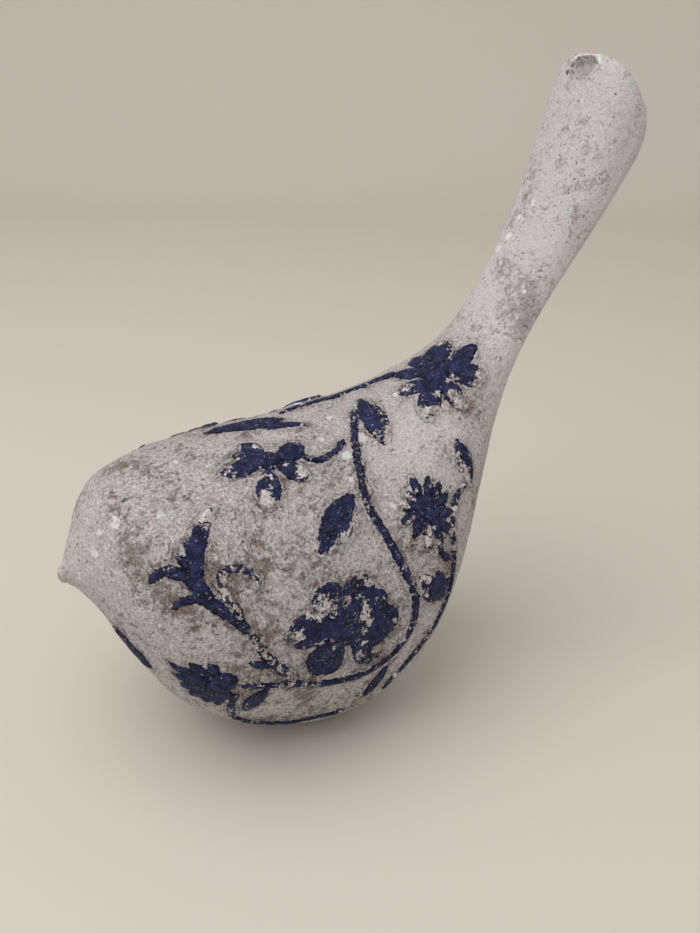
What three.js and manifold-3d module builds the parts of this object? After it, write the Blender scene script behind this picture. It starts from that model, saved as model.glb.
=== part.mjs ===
// Songbird figurine, cast in resin stone, with a raised pattern of vines and flowers painted blue.
// Millimetres, +Z up. The head points to -X, the tail to +X and the bird's left flank to -Y.
// The origin is the centre of the face that the figurine rests on, under its felt pad.
import * as THREE from "three";
import { mergeVertices } from "three/addons/utils/BufferGeometryUtils.js";
import Module from "manifold-3d";

const wasm = await Module();
wasm.setup();

// Driving sizes of the bird: from the beak's tip to the tail's end, from the foot to the tail's end,
// and across the body and the tail. The rounded ends come on top of the length and the height.
const BIRD_LENGTH = 157.7;
const BIRD_HEIGHT = 163.1;
const BODY_WIDTH = 72.6;
const TAIL_WIDTH = 29.6;
const BEAK_ROUNDING = 1.6;
const TAIL_ROUNDING = 9.4;
const BEAK_BLUNTNESS = 2;
const TAIL_BLUNTNESS = 3.7;

// Driving sizes of the hollow
const WALL = 7;
const HEAD_SOLID = 20;
const RUMP_SOLID = 10.5;

// Driving sizes of the foot
const FELT_THICKNESS = 1.5;
const FELT_LENGTH = 32;
const FELT_WIDTH = 27;
const PLUG_RADIUS = 8;
const PLUG_TAPER = 0.6;
const PLUG_HEIGHT = 6;
const PLUG_CLEARANCE = 0.3;

// Driving sizes of the raised pattern
const SEAT_GAP = 0.3;
const EDGE_HEIGHT = 0.55;
const CROWN_HEIGHT = 1.15;
const BOSS_HEIGHT = 1.6;
const NEIGHBOUR_GAP = 0.35;
const VINE_WIDTH = 1.7;
const TWIG_WIDTH = 1.5;
const CALYX_WIDTH = 3.2;
const ARM_WIDTH = 2.8;
const SHOOT_WIDTH = 2.3;
const POINT_WIDTH = 1.4;

// Fineness of the lofts
const CASTING_SIDES = 34;
const CASTING_STEP = 4.7;
const BEAK_RINGS = [0.85, 0.5];
const TAIL_RINGS = [0.45, 0.75, 0.92, 0.985];
const CAVITY_SIDES = 16;
const CAVITY_RINGS = 11;
const CAVITY_ROUNDNESS = 0.7;
const LATHE_SIDES = 32;
const FELT_SIDES = 28;
const SKIN_STEP = 0.4;
const VINE_STEP = 4;
const HEADING_SHARE = 0.01;
const VINE_MEASURES = 40;
const VINE_LEAST_STEPS = 4;
const VINE_END_SHARE = 1 / 3;
const SHORT_BLADE = 10;
const NARROW_BLADE = 6;
const LONG_BLADE_RINGS = [0.12, 0.38, 0.64, 0.88];
const SHORT_BLADE_RINGS = [0.18, 0.5, 0.84];
const BOSS_SIDES = 8;
const BOSS_SHOULDER = 0.6;
const CUTTER_DEPTH = 1;
const MERGE_DISTANCE = 1e-5;

// The bird's outline as drawn, from the beak to the tail end: a point on the back and one on the belly
// as [x, height above the foot], the half width, and the squareness of the section, where 2 is an ellipse
const DRAWING = [
  { place: "beak tip", back: [-61.5, 58.5], belly: [-61.5, 53.4], halfWidth: 1.9, squareness: 2 },
  { place: "beak root", back: [-59.5, 63], belly: [-58.5, 50.5], halfWidth: 5.5, squareness: 2 },
  { place: "brow and chin", back: [-55.4, 70.7], belly: [-52.8, 40.8], halfWidth: 15.6, squareness: 2 },
  { place: "crown and throat", back: [-39.7, 79.8], belly: [-42.5, 19.8], halfWidth: 30.7, squareness: 2 },
  { place: "nape and breast", back: [-13.7, 82], belly: [-24.9, 3.4], halfWidth: 36.3, squareness: 2.05 },
  { place: "back and belly", back: [5.7, 83.7], belly: [0, -5.8], halfWidth: 35.6, squareness: 2.1 },
  { place: "loin", back: [23.4, 85.6], belly: [20.9, 1.2], halfWidth: 34.9, squareness: 2.1 },
  { place: "rump", back: [43.8, 94.1], belly: [41.6, 29.5], halfWidth: 22.9, squareness: 2.1 },
  { place: "tail root", back: [58.1, 107], belly: [57.6, 78.9], halfWidth: 13.1, squareness: 2.2 },
  { place: "tail middle", back: [72.2, 132.7], belly: [82, 119.9], halfWidth: 13.2, squareness: 2.4 },
  { place: "tail blade", back: [77.8, 147], belly: [89.6, 131.7], halfWidth: 14.6, squareness: 2.5 },
  { place: "tail end", back: [81.8, 163.1], belly: [96.2, 140.5], halfWidth: 14.8, squareness: 2.5 },
];

// Each driving size stretches the drawing one way, and the foot lies on top of the felt
const lastDrawn = DRAWING[DRAWING.length - 1];
const lengthwise = BIRD_LENGTH / (lastDrawn.belly[0] - DRAWING[0].belly[0]);
const upward = BIRD_HEIGHT / lastDrawn.back[1];
const acrossBody = BODY_WIDTH / (2 * Math.max(...DRAWING.map((s) => s.halfWidth)));
const acrossTail = TAIL_WIDTH / (2 * lastDrawn.halfWidth);
const stretched = ([x, height]) => [x * lengthwise, FELT_THICKNESS + height * upward];
const STATIONS = DRAWING.map((s) => ({
  ...s,
  back: stretched(s.back),
  belly: stretched(s.belly),
  halfWidth: s.halfWidth * (s.place.startsWith("tail") ? acrossTail : acrossBody),
}));

const castStone = new THREE.MeshStandardMaterial({ color: 0xb4afab, roughness: 0.92, metalness: 0 });
const bluePaint = new THREE.MeshStandardMaterial({ color: 0x262c60, roughness: 0.6, metalness: 0 });
const greyFelt = new THREE.MeshStandardMaterial({ color: 0x5c5a58, roughness: 1, metalness: 0 });
const whitePlug = new THREE.MeshStandardMaterial({ color: 0xd8d5cc, roughness: 0.7, metalness: 0 });

// A natural cubic spline through values at rising positions
function spline(at, values) {
  const last = at.length - 1;
  const gap = (i) => at[i + 1] - at[i];
  const slope = (i) => (values[i + 1] - values[i]) / gap(i);
  const bend = new Array(last + 1).fill(0);
  const pivot = new Array(last + 1).fill(1);
  for (let i = 1; i < last; i++) {
    const carry = i > 1 ? gap(i - 1) / pivot[i - 1] : 0;
    pivot[i] = 2 * (gap(i - 1) + gap(i)) - carry * gap(i - 1);
    bend[i] = 6 * (slope(i) - slope(i - 1)) - carry * bend[i - 1];
  }
  for (let i = last - 1; i > 0; i--) {
    bend[i] = (bend[i] - gap(i) * bend[i + 1]) / pivot[i];
  }
  return (q) => {
    let i = 0;
    while (i < last - 1 && q > at[i + 1]) i++;
    const b = (q - at[i]) / gap(i);
    const a = 1 - b;
    const curved = (a ** 3 - a) * bend[i] + (b ** 3 - b) * bend[i + 1];
    return a * values[i] + b * values[i + 1] + (curved * gap(i) ** 2) / 6;
  };
}

// The mid line runs halfway between back and belly, and its length gives each station its place
function midLine(stations) {
  const middles = stations.map((s) => [(s.back[0] + s.belly[0]) / 2, (s.back[1] + s.belly[1]) / 2]);
  const places = [0];
  for (let i = 1; i < middles.length; i++) {
    const [from, to] = [middles[i - 1], middles[i]];
    places.push(places[i - 1] + Math.hypot(to[0] - from[0], to[1] - from[1]));
  }
  return { middles, places, length: places[places.length - 1] };
}
const { middles, places, length: LENGTH } = midLine(STATIONS);
const backX = spline(places, STATIONS.map((s) => s.back[0]));
const backZ = spline(places, STATIONS.map((s) => s.back[1]));
const bellyX = spline(places, STATIONS.map((s) => s.belly[0]));
const bellyZ = spline(places, STATIONS.map((s) => s.belly[1]));
const halfWidthAt = spline(places, STATIONS.map((s) => s.halfWidth));
const squarenessAt = spline(places, STATIONS.map((s) => s.squareness));

// The pattern is drawn on the drawn bird. Its places stretch with the mid line, and its shapes keep
// to the way in which the bird is stretched least.
const alongStretch = LENGTH / midLine(DRAWING).length;
const patternScale = Math.min(lengthwise, upward, acrossBody);

function unit2(from, to) {
  const length = Math.hypot(to[0] - from[0], to[1] - from[1]);
  return [(to[0] - from[0]) / length, (to[1] - from[1]) / length];
}
const beakAxis = unit2(middles[1], middles[0]);
const tailAxis = unit2(middles[middles.length - 2], middles[middles.length - 1]);

// The section at a distance along the mid line. Past either end it shrinks to a dome.
function section(along) {
  const inside = Math.min(Math.max(along, 0), LENGTH);
  const past = along - inside;
  const rounding = past < 0 ? BEAK_ROUNDING : TAIL_ROUNDING;
  const bluntness = past < 0 ? BEAK_BLUNTNESS : TAIL_BLUNTNESS;
  const axis = past < 0 ? beakAxis : tailAxis;
  const share = Math.min(Math.abs(past) / rounding, 1);
  const shrink = (1 - share ** bluntness) ** (1 / bluntness);
  const back = [backX(inside), backZ(inside)];
  const belly = [bellyX(inside), bellyZ(inside)];
  return {
    x: (back[0] + belly[0]) / 2 + axis[0] * Math.abs(past),
    z: (back[1] + belly[1]) / 2 + axis[1] * Math.abs(past),
    chordX: ((back[0] - belly[0]) / 2) * shrink,
    chordZ: ((back[1] - belly[1]) / 2) * shrink,
    halfWidth: halfWidthAt(inside) * shrink,
    squareness: squarenessAt(inside),
  };
}

// A point of a section. The angle runs from the back (0) down the left flank (90) to the belly (180).
function onSection(s, degrees, inset = 0) {
  const angle = THREE.MathUtils.degToRad(degrees);
  const power = (v) => Math.sign(v) * Math.abs(v) ** (2 / s.squareness);
  const half = Math.hypot(s.chordX, s.chordZ);
  const kept = half > 0 ? 1 - inset / half : 1;
  const up = power(Math.cos(angle)) * kept;
  const out = power(Math.sin(angle)) * (s.halfWidth - inset);
  return new THREE.Vector3(s.x + s.chordX * up, -out, s.z + s.chordZ * up);
}

// The skin's point and the way it faces, at a drawn distance along the bird and an angle round it
function skin(drawnAlong, degrees) {
  const at = (tailward, turn) => onSection(section(drawnAlong * alongStretch + tailward), degrees + turn);
  const point = at(0, 0);
  const toTail = at(SKIN_STEP, 0).sub(at(-SKIN_STEP, 0)).multiplyScalar(alongStretch / (2 * SKIN_STEP));
  const toBelly = at(0, SKIN_STEP).sub(at(0, -SKIN_STEP)).divideScalar(2 * SKIN_STEP);
  const out = toBelly.clone().cross(toTail).normalize();
  return { point, out, toTail, toBelly };
}

function lifted(along, degrees, lift) {
  const s = skin(along, degrees);
  return s.point.addScaledVector(s.out, lift);
}

// A flat drawing laid on the skin. It takes millimetres towards the tail and towards the belly,
// from a centre on the skin, and gives the place along the bird and round it.
function drawingAt(along, degrees) {
  const { toTail, toBelly } = skin(along, degrees);
  const perMillimetre = toTail.length() / patternScale;
  const tailward = toTail.clone().normalize();
  const slant = toBelly.dot(tailward);
  const across = toBelly.clone().addScaledVector(tailward, -slant).length() / patternScale;
  return (p, q) => {
    const turn = q / across;
    return [along + (p - (slant / patternScale) * turn) / perMillimetre, degrees + turn];
  };
}

// A closed body lofted through rings of points, with a point at each end
function loft(rings, start, end) {
  const sides = rings[0].length;
  const points = [start, ...rings.flat(), end];
  const at = (ring, side) => 1 + ring * sides + (side % sides);
  const index = [];
  for (let side = 0; side < sides; side++) {
    index.push(0, at(0, side + 1), at(0, side));
    for (let ring = 0; ring < rings.length - 1; ring++) {
      index.push(at(ring, side), at(ring, side + 1), at(ring + 1, side + 1));
      index.push(at(ring, side), at(ring + 1, side + 1), at(ring + 1, side));
    }
    index.push(points.length - 1, at(rings.length - 1, side), at(rings.length - 1, side + 1));
  }
  const geometry = new THREE.BufferGeometry().setFromPoints(points);
  geometry.setIndex(index);
  return solid(geometry);
}

function solid(geometry) {
  const bare = geometry.clone();
  bare.deleteAttribute("normal");
  bare.deleteAttribute("uv");
  const merged = mergeVertices(bare, MERGE_DISTANCE);
  const vertProperties = new Float32Array(merged.attributes.position.array);
  const triVerts = new Uint32Array(merged.index.array);
  const body = new wasm.Manifold(new wasm.Mesh({ numProp: 3, vertProperties, triVerts }));
  if (body.volume() > 0) return body;
  for (let i = 0; i < triVerts.length; i += 3) {
    [triVerts[i + 1], triVerts[i + 2]] = [triVerts[i + 2], triVerts[i + 1]];
  }
  return new wasm.Manifold(new wasm.Mesh({ numProp: 3, vertProperties, triVerts }));
}

function geometryOf(body) {
  const mesh = body.getMesh();
  const geometry = new THREE.BufferGeometry();
  geometry.setAttribute("position", new THREE.BufferAttribute(new Float32Array(mesh.vertProperties), 3));
  geometry.setIndex(Array.from(mesh.triVerts));
  geometry.computeVertexNormals();
  return geometry;
}

const bird = new THREE.Group();

function place(name, body, material) {
  const mesh = new THREE.Mesh(geometryOf(body), material);
  mesh.name = name;
  bird.add(mesh);
  return mesh;
}

// The plug is a tapered stopper, and the pour hole follows it with a clearance
function stopper(clearance, below, above) {
  const narrow = PLUG_RADIUS - PLUG_TAPER;
  const profile = [
    new THREE.Vector2(0, -below),
    new THREE.Vector2(PLUG_RADIUS + clearance, -below),
    new THREE.Vector2(PLUG_RADIUS + clearance, 0),
    new THREE.Vector2(narrow + clearance, PLUG_HEIGHT),
    new THREE.Vector2(narrow + clearance, PLUG_HEIGHT + above),
    new THREE.Vector2(0, PLUG_HEIGHT + above),
  ];
  const shape = below > 0 ? profile : profile.filter((_, i) => i !== 1);
  const outline = above > 0 ? shape : shape.filter((_, i) => i !== shape.length - 2);
  const turned = new THREE.LatheGeometry(outline, LATHE_SIDES).rotateX(Math.PI / 2);
  return solid(turned.translate(0, 0, FELT_THICKNESS));
}

// The casting: a hollow loft from beak to tail, cut flat for the foot, with the pour hole in it
function castingBody() {
  const sideAngle = 360 / CASTING_SIDES;
  const ringAt = (along) => {
    const s = section(along);
    return Array.from({ length: CASTING_SIDES }, (_, i) => onSection(s, i * sideAngle));
  };
  const count = Math.round(LENGTH / CASTING_STEP);
  const rings = BEAK_RINGS.map((share) => ringAt(-BEAK_ROUNDING * share));
  for (let i = 0; i <= count; i++) rings.push(ringAt((LENGTH * i) / count));
  TAIL_RINGS.forEach((share) => rings.push(ringAt(LENGTH + TAIL_ROUNDING * share)));
  const beakTip = onSection(section(-BEAK_ROUNDING), 0);
  const tailTip = onSection(section(LENGTH + TAIL_ROUNDING), 0);
  const outside = loft(rings, beakTip, tailTip);

  const cavityAngle = 360 / CAVITY_SIDES;
  const cavityEnd = places[DRAWING.findIndex((s) => s.place === "rump")] - RUMP_SOLID;
  const cavityHalf = (cavityEnd - HEAD_SOLID) / 2;
  const cavityRings = [];
  for (let i = 1; i < CAVITY_RINGS; i++) {
    const turn = (Math.PI * i) / CAVITY_RINGS;
    const s = section(HEAD_SOLID + cavityHalf * (1 - Math.cos(turn)));
    const swell = Math.sin(turn) ** CAVITY_ROUNDNESS;
    const middle = new THREE.Vector3(s.x, 0, s.z);
    cavityRings.push(Array.from({ length: CAVITY_SIDES }, (_, j) =>
      onSection(s, j * cavityAngle, WALL).sub(middle).multiplyScalar(swell).add(middle)));
  }
  const cavityFront = section(HEAD_SOLID);
  const cavityRear = section(cavityEnd);
  const cavity = loft(
    cavityRings,
    new THREE.Vector3(cavityFront.x, 0, cavityFront.z),
    new THREE.Vector3(cavityRear.x, 0, cavityRear.z),
  );

  // The flat foot lies at the felt's top face, and the cavity stops a wall above it
  const block = new THREE.BoxGeometry(2 * LENGTH, 2 * LENGTH, LENGTH);
  const underFoot = solid(block.clone().translate(0, 0, FELT_THICKNESS - LENGTH / 2));
  const underCavity = solid(block.clone().translate(0, 0, FELT_THICKNESS + WALL - LENGTH / 2));
  const hollow = cavity.subtract(underCavity);
  return outside.subtract(underFoot).subtract(hollow).subtract(stopper(PLUG_CLEARANCE, CUTTER_DEPTH, WALL));
}

place("bird_casting", castingBody(), castStone);
place("base_plug", stopper(0, 0, 0), whitePlug);

const feltOutline = new THREE.Shape().absellipse(0, 0, FELT_LENGTH / 2, FELT_WIDTH / 2, 0, 2 * Math.PI);
const feltPad = new THREE.ExtrudeGeometry(feltOutline, {
  depth: FELT_THICKNESS,
  bevelEnabled: false,
  curveSegments: FELT_SIDES,
});
place("base_felt", solid(feltPad), greyFelt);

// The raised pattern. Each shape grows by a given amount, so that the same shape, grown, cuts the
// gap that its neighbours keep to it.
const polar = (degrees, distance) => {
  const angle = THREE.MathUtils.degToRad(degrees);
  return [distance * Math.cos(angle), distance * Math.sin(angle)];
};
const bottomLift = (grow) => SEAT_GAP - (grow > 0 ? CUTTER_DEPTH : 0);
const topLift = (height, grow) => SEAT_GAP + height + (grow > 0 ? CUTTER_DEPTH : 0);

// A petal or leaf from a root point to a tip point, both as [towards tail, towards belly].
// Fullness moves its widest place to the tip, and bluntness rounds its ends.
function blade({ root, tip, width, fullness = 1, bluntness = 0.8, sway = 0 }) {
  return (drawing, grow) => {
    const axis = [tip[0] - root[0], tip[1] - root[1]];
    const length = Math.hypot(...axis);
    const along = [axis[0] / length, axis[1] / length];
    const steps = length * patternScale > SHORT_BLADE ? LONG_BLADE_RINGS : SHORT_BLADE_RINGS;
    const broad = width * patternScale > NARROW_BLADE;
    const spread = grow / patternScale;
    const centre = (t) => {
      const bow = sway * 4 * t * (1 - t);
      const reach = t * (length + 2 * spread) - spread;
      return [root[0] + along[0] * reach - along[1] * bow, root[1] + along[1] * reach + along[0] * bow];
    };
    const at = (t, side, lift) => {
      const [p, q] = centre(t);
      const half = (width / 2) * Math.sin(Math.PI * t ** fullness) ** bluntness + spread;
      return lifted(...drawing(p - along[1] * side * half, q + along[0] * side * half), lift);
    };
    const low = bottomLift(grow);
    const edge = topLift(EDGE_HEIGHT, grow);
    const crown = topLift(CROWN_HEIGHT, grow);
    const rings = steps.map((t) => {
      const ring = [at(t, -1, low), at(t, -1, edge), at(t, 0, crown), at(t, 1, edge), at(t, 1, low)];
      return broad ? [...ring, at(t, 0, low)] : ring;
    });
    const end = (t) => lifted(...drawing(...centre(t)), SEAT_GAP + EDGE_HEIGHT / 2);
    return loft(rings, end(0), end(1));
  };
}

// A petal runs outwards from a flower's middle, and is fuller and blunter at its tip than a leaf
const petalForm = { root: 1.4, fullness: 1.35, bluntness: 0.7 };
function petal(degrees, length, width, form = {}) {
  const { root, ...rest } = { ...petalForm, ...form };
  return blade({ root: polar(degrees, root), tip: polar(degrees, length), width, ...rest });
}

// A round boss, such as a flower's middle
function boss(radius, centre = [0, 0], height = BOSS_HEIGHT) {
  return (drawing, grow) => {
    const wide = radius + grow / patternScale;
    const ring = (r, lift) => Array.from({ length: BOSS_SIDES }, (_, i) => {
      const [p, q] = polar((360 * i) / BOSS_SIDES, r);
      return lifted(...drawing(centre[0] + p, centre[1] + q), lift);
    });
    const low = bottomLift(grow);
    const edge = topLift(height * BOSS_SHOULDER, grow);
    const crown = topLift(height, grow);
    const rings = [ring(wide, low), ring(wide, edge), ring(wide * BOSS_SHOULDER, crown)];
    return loft(rings, lifted(...drawing(...centre), low), lifted(...drawing(...centre), crown));
  };
}

// A stem through places on the skin, each as [along the bird, angle round it]
function stem(route, startWidth, endWidth = startWidth) {
  return (_, grow) => {
    const curve = new THREE.SplineCurve(route.map(([along, round]) => new THREE.Vector2(along, round)));
    const onSkin = (t) => {
      const spot = curve.getPoint(THREE.MathUtils.clamp(t, 0, 1));
      return skin(spot.x, spot.y);
    };
    let length = 0;
    for (let i = 0; i < VINE_MEASURES; i++) {
      length += onSkin(i / VINE_MEASURES).point.distanceTo(onSkin((i + 1) / VINE_MEASURES).point);
    }
    const steps = Math.max(VINE_LEAST_STEPS, Math.round(length / VINE_STEP));
    const low = bottomLift(grow);
    const edge = topLift(EDGE_HEIGHT, grow);
    const crown = topLift(CROWN_HEIGHT, grow);
    const heading = (t) => {
      const ahead = onSkin(t + HEADING_SHARE).point;
      return ahead.sub(onSkin(t - HEADING_SHARE).point).normalize();
    };
    const rings = [];
    for (let i = 0; i <= steps; i++) {
      const t = i / steps;
      const { point, out } = onSkin(t);
      const side = heading(t).cross(out).normalize();
      const half = THREE.MathUtils.lerp(startWidth, endWidth, t) / 2 + grow;
      const at = (across, lift) =>
        point.clone().addScaledVector(side, across * half).addScaledVector(out, lift);
      rings.push([at(-1, low), at(-1, edge), at(0, crown), at(1, edge), at(1, low)]);
    }
    const end = (t, way, width) => {
      const { point, out } = onSkin(t);
      const reach = way * (width * VINE_END_SHARE + grow);
      return point.addScaledVector(heading(t), reach).addScaledVector(out, SEAT_GAP + EDGE_HEIGHT / 2);
    };
    return loft(rings, end(0, -1, startWidth), end(1, 1, endWidth));
  };
}

// Each motif is one solid: its shapes joined, less the gap to the motifs that it meets
const grown = new Map();
function motif(name, centre, shapes, meets = []) {
  const drawing = drawingAt(...centre);
  const build = (grow) => shapes.map((shape) => shape(drawing, grow)).reduce((a, b) => a.add(b));
  const body = meets.reduce((rest, other) => rest.subtract(grown.get(other)), build(0));
  grown.set(name, build(NEIGHBOUR_GAP));
  return body;
}

// A set of motifs for one flank. The right flank is drawn as a left one and mirrored.
function flank(side, motifs) {
  const mirror = side === "right" ? new THREE.Matrix4().makeScale(1, -1, 1) : new THREE.Matrix4();
  for (const [name, centre, shapes, meets = []] of motifs) {
    const fullName = `${side}_${name}`;
    const body = motif(fullName, centre, shapes, meets.map((other) => `${side}_${other}`));
    place(fullName, solid(geometryOf(body).applyMatrix4(mirror)), bluePaint);
  }
}

const starFlower = [
  petal(249, 8.4, 5.4), petal(352, 11, 6.2), petal(213, 8.2, 4),
  petal(176, 11.4, 5), petal(44, 11, 5.4), petal(111, 13.5, 6), boss(2.6),
];
const roseLobe = { root: 3, fullness: 1.5, bluntness: 0.55 };
const rose = [
  petal(183, 16.5, 11, roseLobe), petal(119, 15.2, 11.5, roseLobe), petal(235, 14.6, 9.5, roseLobe),
  petal(291, 13, 9.5, roseLobe), petal(335, 12, 8.5, roseLobe), petal(14, 15, 10, roseLobe),
  petal(52, 16, 8.5, roseLobe), boss(5.5),
];
const acanthus = [
  stem([[34.2, 82.5], [32.2, 79.5], [29.5, 76], [27, 73], [25, 69], [23.4, 65]], VINE_WIDTH, CALYX_WIDTH),
  blade({ root: [1, 1.5], tip: [4.4, -17.8], width: 4.4, sway: -2.9 }),
  blade({ root: [-0.6, -1.2], tip: [-6.3, -5.1], width: 1.7 }),
  blade({ root: [-1, -3.6], tip: [-4.8, -7.6], width: 1.7 }),
  blade({ root: [-0.8, -6.4], tip: [-3, -10.4], width: 1.7 }),
  blade({ root: [-0.2, -8.4], tip: [-0.9, -11.9], width: 1.7 }),
  stem([[26.2, 69.2], [23.1, 63.4], [20, 59.9], [17.2, 60.2], [15, 65.2]], ARM_WIDTH, TWIG_WIDTH),
  stem([[27.7, 73.8], [25.1, 70.9], [22.6, 70.8], [20.3, 72.9], [18.4, 76.9]], SHOOT_WIDTH, POINT_WIDTH),
];
const fanPetals = [
  [43, 8.6, 3], [61, 11.5, 3.4], [78, 11.6, 3.4], [97, 12.2, 3.4], [117, 11.4, 3.4],
  [140, 11, 3.2], [165, 11.4, 3.2], [193, 8, 3], [233, 5.6, 3],
];
const fanFlower = [
  ...fanPetals.map(([degrees, length, width]) => petal(degrees, length, width, { root: 1 })),
  boss(3, [1.5, 0]),
];
const daisyPetals = [
  [242, 6.9], [275, 8.4], [308, 7.9], [340, 7.4], [14, 7.6], [48, 8.7],
  [73, 11], [94, 12.4], [117, 11], [146, 8.5], [178, 8], [210, 7.3],
];
const daisy = [
  ...daisyPetals.map(([degrees, length]) => petal(degrees, length, 2.2, { root: 2 })),
  boss(3),
  stem([[88, 68.7], [89.6, 76], [92.6, 82]], POINT_WIDTH),
];
const bud = [
  blade({ root: polar(72, 7), tip: polar(250, 6.9), width: 5 }),
  blade({ root: polar(72, 6), tip: polar(304, 5), width: 3.4 }),
  blade({ root: polar(72, 5), tip: polar(190, 4.2), width: 3.2 }),
  blade({ root: polar(90, 4.5), tip: polar(24, 5.4), width: 3 }),
];

// Over the back: a vine from the tail flower to a leaf behind the head, and a leaf on the breast
const backMotifs = [
  ["tail_flower", [108, 11], [
    petal(323, 14, 8.6), petal(20, 16, 7.6), petal(57, 18, 7.6), petal(101, 13.2, 5.5),
    petal(147, 13.6, 6.2), petal(187, 11, 4.5), petal(236, 10, 5), petal(283, 10.8, 5.5), boss(3.8),
  ], []],
  ["back_vine", [80, -10], [
    stem([[59, -8.5], [67, -10.5], [77, -10], [85, -11], [93.5, -10.5], [99, -7.6]],
      TWIG_WIDTH, SHOOT_WIDTH),
  ], ["tail_flower"]],
  ["back_leaf", [49, -7], [
    blade({ root: polar(20, 9), tip: polar(194, 11), width: 7.5, sway: 0.4 }),
    blade({ root: [-1, 2.5], tip: [12.8, 8.4], width: 2.6 }),
  ], ["back_vine"]],
  ["breast_leaf", [11, 140], [
    blade({ root: polar(0, 8), tip: polar(180, 8), width: 7 }),
  ], []],
];
for (const [name, centre, shapes, meets] of backMotifs) {
  place(name, motif(name, centre, shapes, meets), bluePaint);
}

const flankVine = [
  [71, 28], [69.6, 38], [69.4, 46], [70.8, 53], [75.7, 68.5], [80.1, 83], [80.6, 90], [79, 96.5],
  [74, 102], [67, 105.3], [57, 105.5], [46, 104.7], [34.5, 107.3],
];
const lowerMotifs = [
  ["fan_flower", [28.5, 107.7], fanFlower, ["main_vine"]],
  ["side_leaf", [59.2, 49.9], [
    blade({ root: polar(322, 9.2), tip: polar(137, 8.6), width: 8.8, sway: 0.2 }),
  ]],
  ["rose", [60.2, 84.2], rose, ["main_vine"]],
  ["daisy", [86, 56.6], daisy, ["main_vine"]],
  ["rear_vine", [98, 84], [
    stem([[103.6, 66], [99.5, 64.3], [96.2, 66.5], [94.7, 72], [95, 80], [95.2, 90], [93.5, 98], [89, 104],
      [85, 108], [81, 111.5], [78, 116], [75.5, 121]], TWIG_WIDTH, VINE_WIDTH),
  ], ["main_vine", "daisy"]],
  ["rear_leaf", [105.4, 60], [
    blade({ root: polar(299, 6.6), tip: polar(127, 5.6), width: 5.6 }),
  ], ["rear_vine", "daisy"]],
  ["bud", [87, 86.3], bud, ["main_vine", "rear_vine", "daisy"]],
  ["sprig_stem", [38, 96.4], [
    stem([[47, 102], [41, 95], [38, 90.5], [36, 86], [35, 84.2]], SHOOT_WIDTH, POINT_WIDTH),
    blade({ root: [3, 0], tip: [-3.4, -0.8], width: 2.4 }),
  ], ["main_vine"]],
  ["acanthus", [23.6, 65.8], acanthus, ["sprig_stem"]],
  ["tendril", [32, 66], [
    stem([[32.6, 77.6], [31.3, 74.6], [29.7, 70.5], [29, 65], [29.3, 61], [30.8, 59.3], [33, 59.3],
      [35.2, 61], [36.5, 63], [36.5, 66]], SHOOT_WIDTH, POINT_WIDTH),
  ], ["acanthus", "sprig_stem"]],
  ["low_leaf", [38, 113.8], [
    blade({ root: polar(296, 5.4), tip: polar(75, 7), width: 4.6, sway: 0.8 }),
  ], ["main_vine", "fan_flower"]],
  ["low_vine", [37, 124], [
    stem([[33.8, 112.5], [34.3, 122], [36.3, 131], [40.5, 135.5], [46, 135.5], [52.5, 132.8], [57, 129.5],
      [66, 127]], TWIG_WIDTH, VINE_WIDTH),
  ], ["main_vine", "fan_flower", "low_leaf"]],
  ["corner_leaf", [72, 114], [
    blade({ root: polar(300, 6.8), tip: polar(124, 6.3), width: 3.6 }),
  ], ["main_vine", "rear_vine", "low_vine"]],
];

flank("left", [
  ["main_vine", [70, 60], [stem([[78, 6], [74, 17], ...flankVine], VINE_WIDTH)]],
  ["top_leaf", [80, 14.5], [
    blade({ root: [2.9, -9.4], tip: [-0.6, 8.3], width: 7.4, sway: -0.3 }),
  ], ["main_vine"]],
  ["star_flower", [46, 19.3], starFlower],
  ["star_twig", [62, 24], [
    stem([[55.5, 22], [59, 25], [62, 25.5], [66, 23.5], [69.5, 19.8]], POINT_WIDTH, TWIG_WIDTH),
  ], ["main_vine", "star_flower"]],
  ...lowerMotifs,
]);

// On the right flank the main vine grows out of the back vine, so the star flower hangs lower
flank("right", [
  ["main_vine", [70, 60], [stem([[77, 18], ...flankVine], VINE_WIDTH)]],
  ["star_flower", [45, 35], starFlower],
  ["star_twig", [62, 36], [
    stem([[54.8, 37], [59, 39.5], [63, 38.5], [67.3, 34]], POINT_WIDTH, TWIG_WIDTH),
  ], ["main_vine", "star_flower"]],
  ...lowerMotifs,
]);

export default bird;
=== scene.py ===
# A songbird figurine in cast resin stone, with a raised pattern of vines and flowers painted blue.
# Sizes are in millimetres in each section and turn into metres where a mesh is made. The materials
# measure in metres.
import math

import bpy
import numpy as np
from mathutils import Matrix, Vector, kdtree


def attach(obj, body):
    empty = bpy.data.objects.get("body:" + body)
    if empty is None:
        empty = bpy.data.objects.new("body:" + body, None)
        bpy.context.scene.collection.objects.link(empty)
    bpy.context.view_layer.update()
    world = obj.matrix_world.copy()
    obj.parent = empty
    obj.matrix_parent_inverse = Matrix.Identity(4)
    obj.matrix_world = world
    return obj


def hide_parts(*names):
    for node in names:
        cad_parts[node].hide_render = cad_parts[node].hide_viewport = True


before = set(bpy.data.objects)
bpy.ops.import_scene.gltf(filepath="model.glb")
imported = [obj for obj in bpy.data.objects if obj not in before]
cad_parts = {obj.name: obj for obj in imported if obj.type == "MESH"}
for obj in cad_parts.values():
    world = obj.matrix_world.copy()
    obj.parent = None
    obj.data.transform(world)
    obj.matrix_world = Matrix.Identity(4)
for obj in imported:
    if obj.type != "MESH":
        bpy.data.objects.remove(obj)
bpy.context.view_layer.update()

MM = 0.001

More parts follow.
